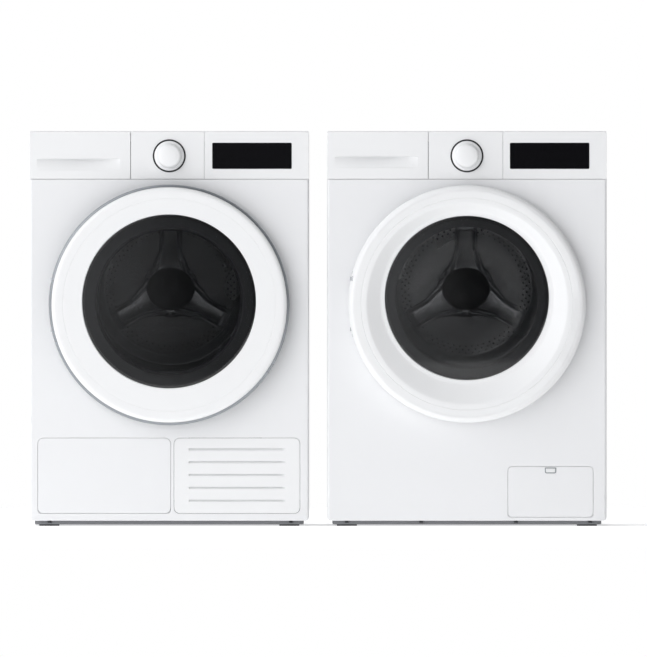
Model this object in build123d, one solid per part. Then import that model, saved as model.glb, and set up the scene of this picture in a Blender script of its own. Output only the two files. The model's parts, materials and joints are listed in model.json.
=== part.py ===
from build123d import *
import math
import os

# Washing machine and tumble dryer side by side.
# Every part is drawn in its machine's own frame: x from the machine's middle,
# y back from the plane of its front panel, z up from the floor. place() then
# moves it to its machine. Millimetres throughout.

# overall sizes
WIDTH = 598.0
HEIGHT = 845.0
MACHINE_GAP = 39.0
DRYER_DEPTH = 600.0
WASHER_DEPTH = 560.0
DOOR_PROUD = 45.0
# sheet and moulding thicknesses
SHEET = 1.5
MOULD = 3.0
WORKTOP_T = 22.0
# clearances
GAP = 1.0
FIT = 0.05
RUN = 0.3
# front bands
FASCIA_H = 102.0
FASCIA_D = 15.5
PLINTH_Z = 11.0
PLINTH_INSET = 11.0
BASE_Y = 8.0
BASE_TOP = 52.0
DRAWER_W = 216.0
BEND_R = 6.0
# feet
FOOT_R = 22.0
FOOT_H = 12.0
FOOT_IN = 42.0
STEM_R = 6.0
# drums, shared axis height
AXIS_Z = 508.0
WASHER_DRUM_R = 232.0
WASHER_TUB_R = 252.0
DRYER_DRUM_R = 250.0
DRUM_WALL = 1.5
WASHER_DRUM_Y0 = 92.0
WASHER_DRUM_L = 326.0
DRYER_DRUM_Y0 = 88.0
DRYER_DRUM_L = 412.0
WASHER_MOUTH_R = 182.0
DRYER_MOUTH_R = 214.0
SHAFT_R = 15.0
# doors
WASHER_RING_R = 254.0
WASHER_RING_Z = 475.0
WASHER_GROOVE_R = 226.5
WASHER_CONE_R = 215.0
WASHER_LIP_R = 186.0
WASHER_LIP_UP = 11.0
WASHER_GLASS_R = 175.0
WASHER_GLASS_Z = 488.0
BOWL_R = 150.0
BOWL_DEPTH = 62.0
PORTHOLE_R = 176.0
DRYER_RING_R = 257.5
DRYER_TRIM_W = 5.5
DRYER_RING_Z = 473.0
DRYER_CREASE_R = 227.5
DRYER_GLASS_R = 185.0
DRYER_GLASS_Z = 480.5
DRYER_WINDOW_R = 156.0
DRYER_OPENING_R = 192.0
DOOR_EDGE_R = 14.0
DOOR_BACK = 6.0
DOOR_SHELL = 4.0
# door hinges
HINGE_IN = 11.0
HINGE_FORE = 22.0
HINGE_SPREAD = 54.0
HINGE_PIN_R = 3.0
HINGE_EYE_R = 7.0
HINGE_ARM_T = 8.0
HINGE_SWING = 140.0
# catch and lock, from the ring's outer edge
CATCH_IN = 38.0
DOOR_WELL = 16.0
CATCH_T = 6.0
CATCH_H = 16.0
CATCH_REACH = 18.0
CATCH_ROOM = 9.0
# controls
KNOB_DROP = 53.0
KNOB_RING_R = 35.0
KNOB_SKIRT_R = 31.7
KNOB_CAP_R = 26.0
KNOB_PROUD = 22.0
KNOB_SHAFT_R = 3.0
DISPLAY_X = 92.0
DISPLAY_W = 170.0
DISPLAY_H = 56.0
DISPLAY_DROP = 25.0
DISPLAY_T = 3.0
# drawer and container
DRAWER_TRAY_W = 188.0
DRAWER_TRAY_H = 46.0
WASHER_TRAY_L = 300.0
DRYER_TRAY_L = 400.0
GRIP_W = 184.0
GRIP_H = 25.0
GRIP_DROP_WASHER = 54.0
GRIP_DROP_DRYER = 59.0
# lower doors
FLAP_X = 88.0
FLAP_W = 182.0
FLAP_Z = 19.0
FLAP_H = 108.0
SERVICE_X = -281.0
SERVICE_W = 284.0
SERVICE_Z = 27.0
SERVICE_H = 161.0
GRILLE_X = 10.5
GRILLE_W = 269.0
GRILLE_SLOTS = 5
GRILLE_PITCH = 27.5
GRILLE_SLOT_L = 206.0
GRILLE_SLOT_H = 6.0
LEAF_T = 3.6
LEAF_EDGE = 0.8
# drives
DRUM_PULLEY_R = 140.0
MOTOR_PULLEY_R = 10.0
PULLEY_Y = 482.0
PULLEY_T = 16.0
ROTOR_R = 38.0
ROTOR_GAP = 2.0
WASHER_MOTOR_Z = 165.0
DRYER_SHAFT_X = 120.0
DRYER_SHAFT_Z = 150.0
DRYER_PULLEY_R = 8.0
DRYER_BELT_Y = 300.0
BELT_T = 2.0
BELT_W = 10.0
ROLLER_R = 25.0
ROLLER_ANGLE = 35.0
FAN_R = 75.0

TOP_Z = HEIGHT - WORKTOP_T
FASCIA_Z = HEIGHT - FASCIA_H
BOARD_Z = TOP_Z - GAP
HALF = WIDTH / 2
KNOB_Z = HEIGHT - KNOB_DROP
FRONT_Y = (DOOR_PROUD - max(DRYER_DEPTH, WASHER_DEPTH)) / 2
SIDE_X = (WIDTH + MACHINE_GAP) / 2
DRAWER_EDGE = DRAWER_W - HALF
TRAY_X = (DRAWER_EDGE - HALF) / 2
TRAY_TOP = TOP_Z - 5.0
TRAY_Z = TRAY_TOP - DRAWER_TRAY_H
MACHINES = {"dryer": (-1, DRYER_DEPTH), "washer": (1, WASHER_DEPTH)}


def block(x0, x1, y0, y1, z0, z1):
    """A box between two corners."""
    size = (x1 - x0, y1 - y0, z1 - z0)
    middle = ((x0 + x1) / 2, (y0 + y1) / 2, (z0 + z1) / 2)
    return Pos(*middle) * Box(*size)


def rod(x, y0, y1, z, r):
    """A cylinder along y."""
    return Pos(x, (y0 + y1) / 2, z) * Rot(90, 0, 0) * Cylinder(r, y1 - y0)


def post(x, y, z0, z1, r):
    """A cylinder along z."""
    return Pos(x, y, (z0 + z1) / 2) * Cylinder(r, z1 - z0)


def spun(x, z, points):
    """A profile of (radius, y) points turned about a y axis at x, z."""
    outline = make_face(Polyline([(r, y, 0) for r, y in points], close=True))
    return Pos(x, 0, z) * revolve(outline, Axis.Y)


def tube(x, y0, y1, z, r_out, r_in):
    return rod(x, y0, y1, z, r_out) - rod(x, y0 - 1, y1 + 1, z, r_in)


def plate(x0, x1, y0, y1, z0, z1, r):
    """A plate in the xz plane with rounded corners."""
    middle = ((x0 + x1) / 2, y1, (z0 + z1) / 2)
    face = RectangleRounded(x1 - x0, z1 - z0, r)
    return Pos(*middle) * Rot(90, 0, 0) * extrude(face, y1 - y0)


def cone(y0, z0, r0, y1, z1, r1):
    """A solid skewed cone between two circles that face along y."""
    first = Pos(0, y0, z0) * Rot(90, 0, 0) * Circle(r0)
    last = Pos(0, y1, z1) * Rot(90, 0, 0) * Circle(r1)
    return loft([first, last])


def joined(shapes):
    total = shapes[0]
    for shape in shapes[1:]:
        total = total + shape
    return total


def place(machine, shape):
    return Pos(MACHINES[machine][0] * SIDE_X, FRONT_Y, 0) * shape


def save(node, shapes):
    """Write one node from shapes already in the shared frame."""
    solids = [s for shape in shapes for s in shape.solids()]
    body = solids[0] if len(solids) == 1 else Compound(children=solids)
    body.label = node
    export_step(body, f"parts/{node}.step")


def save_for(machine, name, *shapes):
    save(f"{machine}_{name}", [place(machine, s) for s in shapes])


def foot_places(depth):
    near = FOOT_IN
    return [(sx * (HALF - FOOT_IN), y) for sx in (-1, 1) for y in (near, depth - near)]


# ---------------------------------------------------------------- cabinet

def side_panels(depth):
    z0 = PLINTH_Z + 5.0
    inner = HALF - SHEET
    left = block(-HALF, -inner, 20.0 + GAP, depth, z0, TOP_Z)
    right = block(inner, HALF, 20.0 + GAP, depth, z0, TOP_Z)
    return [left, right]


def worktop(depth):
    return plate(-HALF, HALF, 0, depth - FASCIA_D - RUN, 0, WORKTOP_T, 4.0).moved(
        Location((0, FASCIA_D + RUN, TOP_Z))
    )


def rear_plate(depth):
    inner = HALF - SHEET - RUN
    return block(-inner, inner, depth - SHEET, depth, PLINTH_Z + 5.0, TOP_Z - RUN)


def front_shell():
    """A folded front: one wall with two side returns."""
    z0, z1 = PLINTH_Z, FASCIA_Z - GAP
    outer = block(-HALF, HALF, 0, 20.0, z0, z1)
    outer = fillet(outer.edges().filter_by(Axis.Z).sort_by(Axis.Y)[:2], BEND_R)
    inner = block(-HALF + SHEET, HALF - SHEET, SHEET, 30.0, z0 - 1, z1 + 1)
    inner = fillet(inner.edges().filter_by(Axis.Z).sort_by(Axis.Y)[:2], BEND_R - SHEET)
    corners = block(-HALF, HALF, -1, 21.0, z0, z1)
    low = corners.edges().filter_by(Axis.Y).sort_by(Axis.Z)[:2]
    return (outer - inner) & fillet(low, 8.0)


def base_tray(depth):
    """A moulded tray with corner pockets for the feet."""
    x = HALF - PLINTH_INSET
    y0, y1 = BASE_Y, depth - BASE_Y
    z0, z1 = 3.0, BASE_TOP
    outer = block(-x, x, y0, y1, z0, z1)
    outer = fillet(outer.edges().filter_by(Axis.Z), 16.0)
    hollow = block(-x + 4, x - 4, y0 + 4, y1 - 4, z0 + 4, z1 + 1)
    tray = outer - hollow
    for fx, fy in foot_places(depth):
        tray = tray + post(fx, fy, z0 + 4, z1, FOOT_R + 7)
        tray = tray - post(fx, fy, z0 - 1, z1 - 16, FOOT_R + 3)
        tray = tray - post(fx, fy, z0 - 1, z1 + 1, STEM_R + FIT)
    # the corner bosses reach the front edge, so they are trimmed to the tray
    return tray & outer


def feet(depth):
    parts = []
    for fx, fy in foot_places(depth):
        pad = post(fx, fy, 0, FOOT_H, FOOT_R)
        stem = post(fx, fy, FOOT_H, BASE_TOP + 6, STEM_R)
        nut_face = Pos(fx, fy, 25.0) * RegularPolygon(11.0, 6)
        parts.append(pad + stem + extrude(nut_face, 8.0))
    return parts


def fascia(machine):
    """Front moulding right of the drawer, with a carrier behind the drawer."""
    x0, x1 = DRAWER_EDGE + GAP, HALF
    z0, z1 = FASCIA_Z, HEIGHT - GAP
    skin = block(x0, x1, 0, FASCIA_D, z0, z1)
    skin = fillet(skin.edges().filter_by(Axis.Z).sort_by(Axis.X)[-2], 3.0)
    skin = skin - block(x0 + MOULD, x1 - MOULD, MOULD, 40, z0 + MOULD, z1 - MOULD)
    carrier = block(-HALF + 2, HALF - 2, FASCIA_D, FASCIA_D + MOULD, z0, BOARD_Z)
    carrier = carrier - block(
        TRAY_X - DRAWER_TRAY_W / 2 - 2 * GAP,
        TRAY_X + DRAWER_TRAY_W / 2 + 2 * GAP,
        0, 40, TRAY_Z - 2 * GAP, TRAY_TOP + 2 * GAP,
    )
    carrier = carrier - block(DISPLAY_X - 14, DISPLAY_X + DISPLAY_W + 14, 0, 40, z0 + 12, BOARD_Z - 8)
    whole = skin + carrier
    # the top return would meet the worktop, so the carrier stays below it
    z_top = HEIGHT - DISPLAY_DROP
    whole = whole - block(
        DISPLAY_X - FIT, DISPLAY_X + DISPLAY_W + FIT, -1, MOULD + 1,
        z_top - DISPLAY_H - FIT, z_top + FIT,
    )
    return whole - rod(0, -1, 40, KNOB_Z, KNOB_SHAFT_R + 1.0)


def display():
    z_top = HEIGHT - DISPLAY_DROP
    return plate(DISPLAY_X, DISPLAY_X + DISPLAY_W, -0.6, DISPLAY_T - 0.6, z_top - DISPLAY_H, z_top, 2.5)


def board():
    x0, x1 = DISPLAY_X - 8, DISPLAY_X + DISPLAY_W + 8
    return block(x0, x1, FASCIA_D + MOULD + 2, FASCIA_D + MOULD + 20, FASCIA_Z + 18, BOARD_Z - 10)


def knob_ring():
    return tube(0, -1.5, 0, KNOB_Z, KNOB_RING_R, KNOB_RING_R - 2.7)


def knob():
    cap = [
        (0, -KNOB_PROUD), (KNOB_CAP_R - 9, -KNOB_PROUD + 0.8),
        (KNOB_CAP_R - 2.5, -KNOB_PROUD + 3.5), (KNOB_CAP_R - 0.6, -KNOB_PROUD + 7),
        (KNOB_CAP_R, -5.5), (KNOB_SKIRT_R, -3.2), (KNOB_SKIRT_R, -RUN), (KNOB_SHAFT_R, -RUN),
        (KNOB_SHAFT_R, FASCIA_D + MOULD + 12), (0, FASCIA_D + MOULD + 12),
    ]
    body = spun(0, KNOB_Z, cap)
    index = block(-0.8, 0.8, -KNOB_PROUD - 1, -KNOB_PROUD + 7.5, KNOB_Z + 15, KNOB_Z + 24)
    return body - index


# ----------------------------------------------------------- drawer and shelf

def grip_pocket(drop):
    """The scooped finger pocket: a deep straight top edge and a sloping floor."""
    z1 = HEIGHT - drop
    outline = Polyline(
        (0, -1, z1), (0, 11.5, z1), (0, 11.5, z1 - 6), (0, -1, z1 - GRIP_H), close=True
    )
    x = TRAY_X - GRIP_W / 2
    return Pos(x, 0, 0) * extrude(make_face(outline), amount=GRIP_W, dir=(1, 0, 0))


def drawer_front(drop):
    front = block(-HALF, DRAWER_EDGE, 0, FASCIA_D - RUN, FASCIA_Z, HEIGHT - GAP)
    front = fillet(front.edges().filter_by(Axis.Z).sort_by(Axis.X)[0], 3.0)
    return front - grip_pocket(drop)


def washer_drawer():
    x0, x1 = TRAY_X - DRAWER_TRAY_W / 2, TRAY_X + DRAWER_TRAY_W / 2
    y0, y1 = FASCIA_D - RUN, FASCIA_D + WASHER_TRAY_L
    tray = block(x0, x1, y0, y1, TRAY_Z, TRAY_TOP)
    wide = DRAWER_TRAY_W - 4 * MOULD
    left = x0 + MOULD
    for share in (0.42, 0.22, 0.36):
        span = wide * share
        tray = tray - block(left, left + span, y0 + 6, y1 - MOULD, TRAY_Z + MOULD, TRAY_TOP + 1)
        left = left + span + MOULD
    return drawer_front(GRIP_DROP_WASHER) + tray


def water_container():
    x0, x1 = TRAY_X - DRAWER_TRAY_W / 2, TRAY_X + DRAWER_TRAY_W / 2
    y0, y1 = FASCIA_D - RUN, FASCIA_D + DRYER_TRAY_L
    tank = block(x0, x1, y0, y1, TRAY_Z, TRAY_TOP)
    tank = tank - block(x0 + 2, x1 - 2, y0 + 6, y1 - 2, TRAY_Z + 2, TRAY_TOP - 2)
    tank = tank - post(TRAY_X, y1 - 40, TRAY_TOP - 3, TRAY_TOP + 1, 14.0)
    return drawer_front(GRIP_DROP_DRYER) + tank


def tray_housing(length, roof):
    """The fixed sleeve that the drawer or container slides in."""
    x0 = TRAY_X - DRAWER_TRAY_W / 2 - RUN * 3
    x1 = TRAY_X + DRAWER_TRAY_W / 2 + RUN * 3
    y0, y1 = FASCIA_D + MOULD + RUN, FASCIA_D + length + 18
    z0, z1 = TRAY_Z - RUN * 3, TRAY_TOP + RUN * 3
    box = block(x0 - 2, x1 + 2, y0, y1, z0 - 2, z1 + 2)
    box = box - block(x0, x1, y0 - 1, y1 - 2, z0, z1)
    if not roof:
        box = box - block(x0 + 20, x1 - 20, y0 + 20, y1 - 60, z1 - 1, z1 + 3)
    return box


# ----------------------------------------------------------------- doors

def hinge_slots(ring_r, ring_z):
    """Room in the ring for each hinge arm over the whole swing."""
    hx = -(ring_r - HINGE_IN)
    low, high = 58.0, 90.0 + HINGE_SWING + 32.0
    points = [(0, 0)]
    steps = 8
    for i in range(steps + 1):
        a = math.radians(low + (high - low) * i / steps)
        points.append((60 * math.cos(a), 60 * math.sin(a)))
    cuts = []
    for s in (-1, 1):
        z = ring_z + s * HINGE_SPREAD - HINGE_ARM_T / 2 - GAP
        sector = make_face(Polyline([(hx + x, -HINGE_FORE + y, z) for x, y in points], close=True))
        height = HINGE_ARM_T + 2 * GAP
        cuts.append(extrude(sector, amount=height, dir=(0, 0, 1)))
        cuts.append(post(hx, -HINGE_FORE, z, z + height, HINGE_EYE_R + GAP))
    return cuts


def ring_profile(r_out, r_in, y_in):
    """Outer wall with a rounded front edge and a chamfered back edge."""
    pts = [(r_in, y_in), (r_in + 3, -DOOR_PROUD)]
    for i in range(9):
        a = math.radians(90 - 90 * i / 8)
        r = r_out - DOOR_EDGE_R + DOOR_EDGE_R * math.cos(a)
        pts.append((r, -DOOR_PROUD + DOOR_EDGE_R - DOOR_EDGE_R * math.sin(a)))
    pts += [(r_out, -DOOR_BACK - 6), (r_out - 6, -DOOR_BACK), (r_in, -DOOR_BACK)]
    return pts


def washer_door_frame():
    ring = spun(0, WASHER_RING_Z, ring_profile(WASHER_RING_R, 0, -DOOR_PROUD))
    lip_z = WASHER_RING_Z + WASHER_LIP_UP
    dish = cone(-DOOR_PROUD - 0.5, WASHER_RING_Z, WASHER_CONE_R, -30.0, lip_z, WASHER_LIP_R)
    ring = ring - dish
    ring = ring - rod(0, -40, 0, WASHER_GLASS_Z, WASHER_GLASS_R)
    # the back is hollow, and the inner frame closes it
    back = spun(0, WASHER_RING_Z, [
        (0, 0), (WASHER_RING_R - 14, 0), (WASHER_RING_R - 14, -DOOR_PROUD + 20),
        (WASHER_GLASS_R, -DOOR_PROUD + 20), (0, -DOOR_PROUD + 20),
    ])
    ring = ring - back
    groove = tube(0, -DOOR_PROUD - 1, -DOOR_PROUD + 1.2, WASHER_RING_Z, WASHER_GROOVE_R + 0.8, WASHER_GROOVE_R - 0.8)
    ring = ring - groove
    for cut in hinge_slots(WASHER_RING_R, WASHER_RING_Z):
        ring = ring - cut
    return ring - hinge_pin_bore(WASHER_RING_R, WASHER_RING_Z)


def hinge_pin_bore(ring_r, ring_z):
    z = HINGE_SPREAD + HINGE_ARM_T / 2 + 9
    return post(-(ring_r - HINGE_IN), -HINGE_FORE, ring_z - z, ring_z + z, HINGE_PIN_R)


def door_fittings(ring_r, ring_z):
    """The hinge pin and the catch hook."""
    pin = hinge_pin_bore(ring_r, ring_z)
    x = ring_r - CATCH_IN
    stem = block(x, x + CATCH_T, -DOOR_WELL, CATCH_REACH, ring_z - CATCH_H / 2, ring_z + CATCH_H / 2)
    nose = block(x - 4, x, CATCH_REACH - 8, CATCH_REACH, ring_z - CATCH_H / 2, ring_z + CATCH_H / 2)
    return [pin, stem + nose]


def washer_inner_frame():
    """The rear shell that clamps the bowl into the ring."""
    r1 = WASHER_RING_R - 14 - RUN
    disc = rod(0, -DOOR_PROUD + 20 + RUN, -DOOR_BACK, WASHER_RING_Z, r1)
    disc = disc - rod(0, -DOOR_PROUD, 0, WASHER_GLASS_Z, BOWL_R + 1.5)
    disc = disc - tube(0, -DOOR_WELL, 0, WASHER_RING_Z, r1 - 14, WASHER_LIP_R + 4)
    for cut in hinge_slots(WASHER_RING_R, WASHER_RING_Z):
        disc = disc - cut
    return disc


def washer_window():
    """The smoked outer pane, slightly domed."""
    return spun(0, WASHER_GLASS_Z, [
        (0, -33.0), (WASHER_GLASS_R - 60, -32.2), (WASHER_GLASS_R - FIT, -29.0),
        (WASHER_GLASS_R - FIT, -26.0), (WASHER_GLASS_R - 60, -29.2), (0, -30.0),
    ])


def washer_bowl():
    outer = [
        (BOWL_R, -18), (BOWL_R - 1, 18), (BOWL_R - 12, 40), (BOWL_R - 34, BOWL_DEPTH - 5),
        (BOWL_R - 60, BOWL_DEPTH), (0, BOWL_DEPTH),
    ]
    inner = [(0, BOWL_DEPTH - 6), (BOWL_R - 62, BOWL_DEPTH - 6), (BOWL_R - 37, BOWL_DEPTH - 11)]
    inner += [(BOWL_R - 17, 37), (BOWL_R - 6, 17), (BOWL_R - 6, -18)]
    return spun(0, WASHER_GLASS_Z, outer + inner)


def dryer_door_frame():
    r_out = DRYER_RING_R - DRYER_TRIM_W
    ring = spun(0, DRYER_RING_Z, [
        (0, -DOOR_PROUD), (r_out - 10, -DOOR_PROUD), (r_out - 3, -DOOR_PROUD + 2),
        (r_out, -DOOR_PROUD + 6), (r_out, -DOOR_BACK), (0, -DOOR_BACK),
    ])
    back = spun(0, DRYER_RING_Z, [(0, 0), (r_out - 12, 0), (r_out - 12, -DOOR_PROUD + 14), (0, -DOOR_PROUD + 14)])
    ring = ring - back
    ring = ring - rod(0, -DOOR_PROUD - 1, 0, DRYER_GLASS_Z, DRYER_GLASS_R + 0.6)
    crease = tube(0, -DOOR_PROUD - 1, -DOOR_PROUD + 0.8, DRYER_RING_Z, DRYER_CREASE_R + 0.6, DRYER_CREASE_R - 0.6)
    ring = ring - crease
    for cut in hinge_slots(DRYER_RING_R, DRYER_RING_Z):
        ring = ring - cut
    return ring - hinge_pin_bore(DRYER_RING_R, DRYER_RING_Z)


def dryer_door_trim():
    r_out, r_in = DRYER_RING_R, DRYER_RING_R - DRYER_TRIM_W + FIT
    ring = spun(0, DRYER_RING_Z, [
        (r_in, -DOOR_PROUD + 8), (r_out - 1.5, -DOOR_PROUD + 10), (r_out, -DOOR_PROUD + 13),
        (r_out, -DOOR_BACK - 6), (r_out - 4, -DOOR_BACK), (r_in, -DOOR_BACK),
    ])
    for cut in hinge_slots(DRYER_RING_R, DRYER_RING_Z):
        ring = ring - cut
    return ring - hinge_pin_bore(DRYER_RING_R, DRYER_RING_Z)


def dryer_door_glass():
    r = DRYER_GLASS_R
    return spun(0, DRYER_GLASS_Z, [
        (0, -DOOR_PROUD + 0.5), (r - 30, -DOOR_PROUD + 0.8), (r - 1, -DOOR_PROUD + 2.0),
        (r, -DOOR_PROUD + 3.0), (r, -DOOR_PROUD + 7.0), (0, -DOOR_PROUD + 5.0),
    ])


def dryer_liner():
    """The inner shell of the door with its window well."""
    r1 = DRYER_RING_R - DRYER_TRIM_W - 12 - RUN
    shell = rod(0, -DOOR_PROUD + 14 + RUN, -DOOR_BACK, DRYER_RING_Z, r1)
    plug = spun(0, DRYER_GLASS_Z, [
        (0, -DOOR_BACK - 1), (DRYER_WINDOW_R + 16, -DOOR_BACK - 1), (DRYER_WINDOW_R + 10, 30), (0, 30),
    ])
    shell = shell + plug
    shell = shell - spun(0, DRYER_GLASS_Z, [
        (0, -50), (DRYER_WINDOW_R + 4, -50), (DRYER_WINDOW_R - 4, 31), (0, 31),
    ])
    shell = shell - tube(0, -DOOR_WELL, 0, DRYER_RING_Z, r1 - 14, DRYER_WINDOW_R + 30)
    for cut in hinge_slots(DRYER_RING_R, DRYER_RING_Z):
        shell = shell - cut
    return shell


def dryer_inner_window():
    return rod(0, 22, 26, DRYER_GLASS_Z, DRYER_WINDOW_R - 4.0)


def hinge_bracket(ring_r, ring_z):
    hx = -(ring_r - HINGE_IN)
    base = block(hx - 2, hx + 26, -2.0, 0, ring_z - HINGE_SPREAD - 16, ring_z + HINGE_SPREAD + 16)
    for s in (-1, 1):
        z = ring_z + s * HINGE_SPREAD
        z0, z1 = z - HINGE_ARM_T / 2, z + HINGE_ARM_T / 2
        arm = block(hx - 3.5, hx + 3.5, -HINGE_FORE, -1.0, z0, z1)
        arm = arm + post(hx, -HINGE_FORE, z0, z1, HINGE_EYE_R)
        base = base + (arm - post(hx, -HINGE_FORE, z0 - 1, z1 + 1, HINGE_PIN_R + FIT))
    return base


def lock_slot(ring_r, ring_z):
    x = ring_r - CATCH_IN
    return block(x - CATCH_ROOM, x + CATCH_T + 12, -1, 3, ring_z - CATCH_H, ring_z + CATCH_H)


def door_lock(ring_r, ring_z):
    x = ring_r - CATCH_IN
    case = block(x - CATCH_ROOM - 3, x + CATCH_T + 22, SHEET + 0.1, 34, ring_z - 34, ring_z + 34)
    return case - block(x - CATCH_ROOM, x + CATCH_T + 12, 0, 26, ring_z - CATCH_H, ring_z + CATCH_H)


# ------------------------------------------------------------ washer fixed

def leaf_opening(x, w, z, h):
    """Nearly square lower corners leave room for the leaf's lower edge as it drops forward."""
    upper = plate(x - GAP, x + w + GAP, -1, 4, z - GAP, z + h + GAP, 9.0)
    return upper + plate(x - GAP, x + w + GAP, -1, 4, z - GAP, z + h / 2, 1.5)


def washer_front():
    front = front_shell()
    front = front - rod(0, -1, 30, WASHER_GLASS_Z, PORTHOLE_R)
    front = front + tube(0, 0, 10, WASHER_GLASS_Z, PORTHOLE_R, PORTHOLE_R - 3)
    front = front - leaf_opening(FLAP_X, FLAP_W, FLAP_Z, FLAP_H)
    return front - lock_slot(WASHER_RING_R, WASHER_RING_Z)


def tub():
    r1, r0 = WASHER_TUB_R, WASHER_TUB_R - 5
    y0, y1 = WASHER_DRUM_Y0 - 14, WASHER_DRUM_Y0 + WASHER_DRUM_L + 24
    hub_y = y1 + 33
    mouth = WASHER_MOUTH_R + 6
    body = spun(0, AXIS_Z, [
        (mouth, y0 - 14), (mouth + 4, y0 - 14), (mouth + 4, y0), (r1, y0), (r1, y1), (46, y1),
        (46, hub_y), (26.0 + FIT, hub_y), (26.0 + FIT, y1 - 8), (46, y1 - 6), (r0, y1 - 6),
        (r0, y0 + 5), (mouth, y0 + 5),
    ])
    for sx in (-1, 1):
        for sz in (-1, 1):
            boss = rod(sx * 175, y1 - 2, WASHER_DEPTH - 18, AXIS_Z + sz * 90, 14)
            body = body + (boss - rod(sx * 175, y1 + 20, WASHER_DEPTH, AXIS_Z + sz * 90, 6.0))
    return body


def seal():
    """Front lip round the porthole, bellows, and collar round the tub mouth."""
    collar = spun(0, WASHER_GLASS_Z, [
        (PORTHOLE_R - 20, -1), (PORTHOLE_R - 14, -2.5), (PORTHOLE_R + 6, -2.5), (PORTHOLE_R + 6, -FIT),
        (PORTHOLE_R - 3 - FIT, -FIT), (PORTHOLE_R - 3 - FIT, 14), (PORTHOLE_R - 20, 14),
    ])
    tub_lip = WASHER_MOUTH_R + 6
    y1 = WASHER_DRUM_Y0 - 14 - 14 - RUN
    outer = cone(12, WASHER_GLASS_Z, PORTHOLE_R - 3 - FIT, y1, AXIS_Z, tub_lip + 8)
    inner = cone(11.9, WASHER_GLASS_Z, PORTHOLE_R - 8, y1 + 0.1, AXIS_Z, tub_lip + 1)
    bellows = outer - inner
    clamp = tube(0, y1 - 3, y1 + 12, AXIS_Z, tub_lip + 10, tub_lip + 4 + FIT)
    flange = tube(0, y1 - 3, y1, AXIS_Z, tub_lip + 10, tub_lip - 5)
    return collar + bellows + clamp + flange


def bearings():
    y1 = WASHER_DRUM_Y0 + WASHER_DRUM_L + 24
    first = tube(0, y1 - 4, y1 + 10, AXIS_Z, 26.0, SHAFT_R + FIT)
    second = tube(0, y1 + 18, y1 + 32, AXIS_Z, 26.0, SHAFT_R + FIT)
    return [first, second]


def counterweight():
    y1 = WASHER_DRUM_Y0 - 14 - RUN
    ring = tube(0, y1 - 30, y1, AXIS_Z, WASHER_TUB_R - 2, WASHER_MOUTH_R + 20)
    return ring - block(-400, 400, y1 - 40, y1 + 1, AXIS_Z - 34, AXIS_Z + 34)


def suspension():
    parts = []
    for s in (-1, 1):
        # springs hang from the frame under the worktop, dampers stand on the base
        reach = WASHER_TUB_R + 12
        y = FASCIA_D + WASHER_TRAY_L + 50
        parts.append(post(s * reach, y, 600, 740, 11))
        parts.append(post(s * reach, y, 740, TOP_Z - 2, 2.5))
        lug = block(-8, 8, y - 8, y + 8, 540, 600)
        parts.append(Pos(s * reach, 0, 0) * lug)
        parts.append(post(s * 205, 250, BASE_TOP + 8, 200, 14))
        parts.append(post(s * 205, 250, 200, 290, 5))
    return parts


def drain_pump():
    x, z = FLAP_X + FLAP_W / 2, FLAP_Z + FLAP_H / 2 + 6
    house = tube(x, 24, 130, z, 38, 34 + RUN)
    house = house + rod(x, 130, 134, z, 38)
    pump = rod(x, 134, 200, z, 30)
    return house + pump


def filter_cap():
    x, z = FLAP_X + FLAP_W / 2, FLAP_Z + FLAP_H / 2 + 6
    cap = rod(x, 16, 20, z, 37) + rod(x, 20, 60, z, 34)
    grip = block(x - 26, x + 26, 9, 16, z - 4, z + 4)
    return cap + grip


def water_pipes():
    d = WASHER_DEPTH
    x, z = 230.0, 780.0
    valve = block(x - 22, x + 22, d - 70, d - SHEET - 0.1, z - 20, z + 20)
    valve = valve + rod(x, d - 10, d + 24, z, 13.2) - rod(x, d, d + 30, z, 9.0)
    spout = tube(-230, d - 40, d + 24, 700, 11, 8.5)
    feed = block(TRAY_X + 60, x - 22, d - 64, d - 56, z + 4, z + 12)
    feed = feed + block(TRAY_X + 60, TRAY_X + 68, 338, d - 56, z + 4, z + 12)
    return [valve, spout, feed]


def washer_back():
    d = WASHER_DEPTH
    back = rear_plate(d)
    back = back - rod(230, d - 9, d + 9, 780, 14.5) - rod(-230, d - 9, d + 9, 700, 12.0)
    for sx in (-1, 1):
        for sz in (-1, 1):
            back = back - rod(sx * 175, d - 9, d + 9, AXIS_Z + sz * 90, 16)
    return back


# ----------------------------------------------------------- washer moving

def star(r_out, y0, y1):
    """Three arms, one straight up, widening towards the hub, with a hub cap."""
    total = rod(0, y0, y1, AXIS_Z, 50)
    for k in range(3):
        pts = [(-36, 0, 0), (-36, 0, 40), (-21.5, 0, r_out - 8), (21.5, 0, r_out - 8), (36, 0, 40), (36, 0, 0)]
        arm = extrude(make_face(Polyline(pts, close=True)), amount=y1 - y0, dir=(0, 1, 0))
        total = total + Pos(0, y0, AXIS_Z) * Rot(0, 120 * k, 0) * arm
    cap = Pos(0, y0, AXIS_Z) * Rot(90, 0, 0) * extrude(RectangleRounded(100, 92, 14), 8)
    return total + cap


def washer_drum():
    r, w = WASHER_DRUM_R, DRUM_WALL
    y0, y1 = WASHER_DRUM_Y0, WASHER_DRUM_Y0 + WASHER_DRUM_L
    m = WASHER_MOUTH_R
    return spun(0, AXIS_Z, [
        (m, y0 - 5), (m + 3, y0 - 5), (m + 3, y0), (r, y0), (r, y1), (0, y1), (0, y1 - w),
        (r - w, y1 - w), (r - w, y0 + w), (m, y0 + w),
    ])


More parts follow.
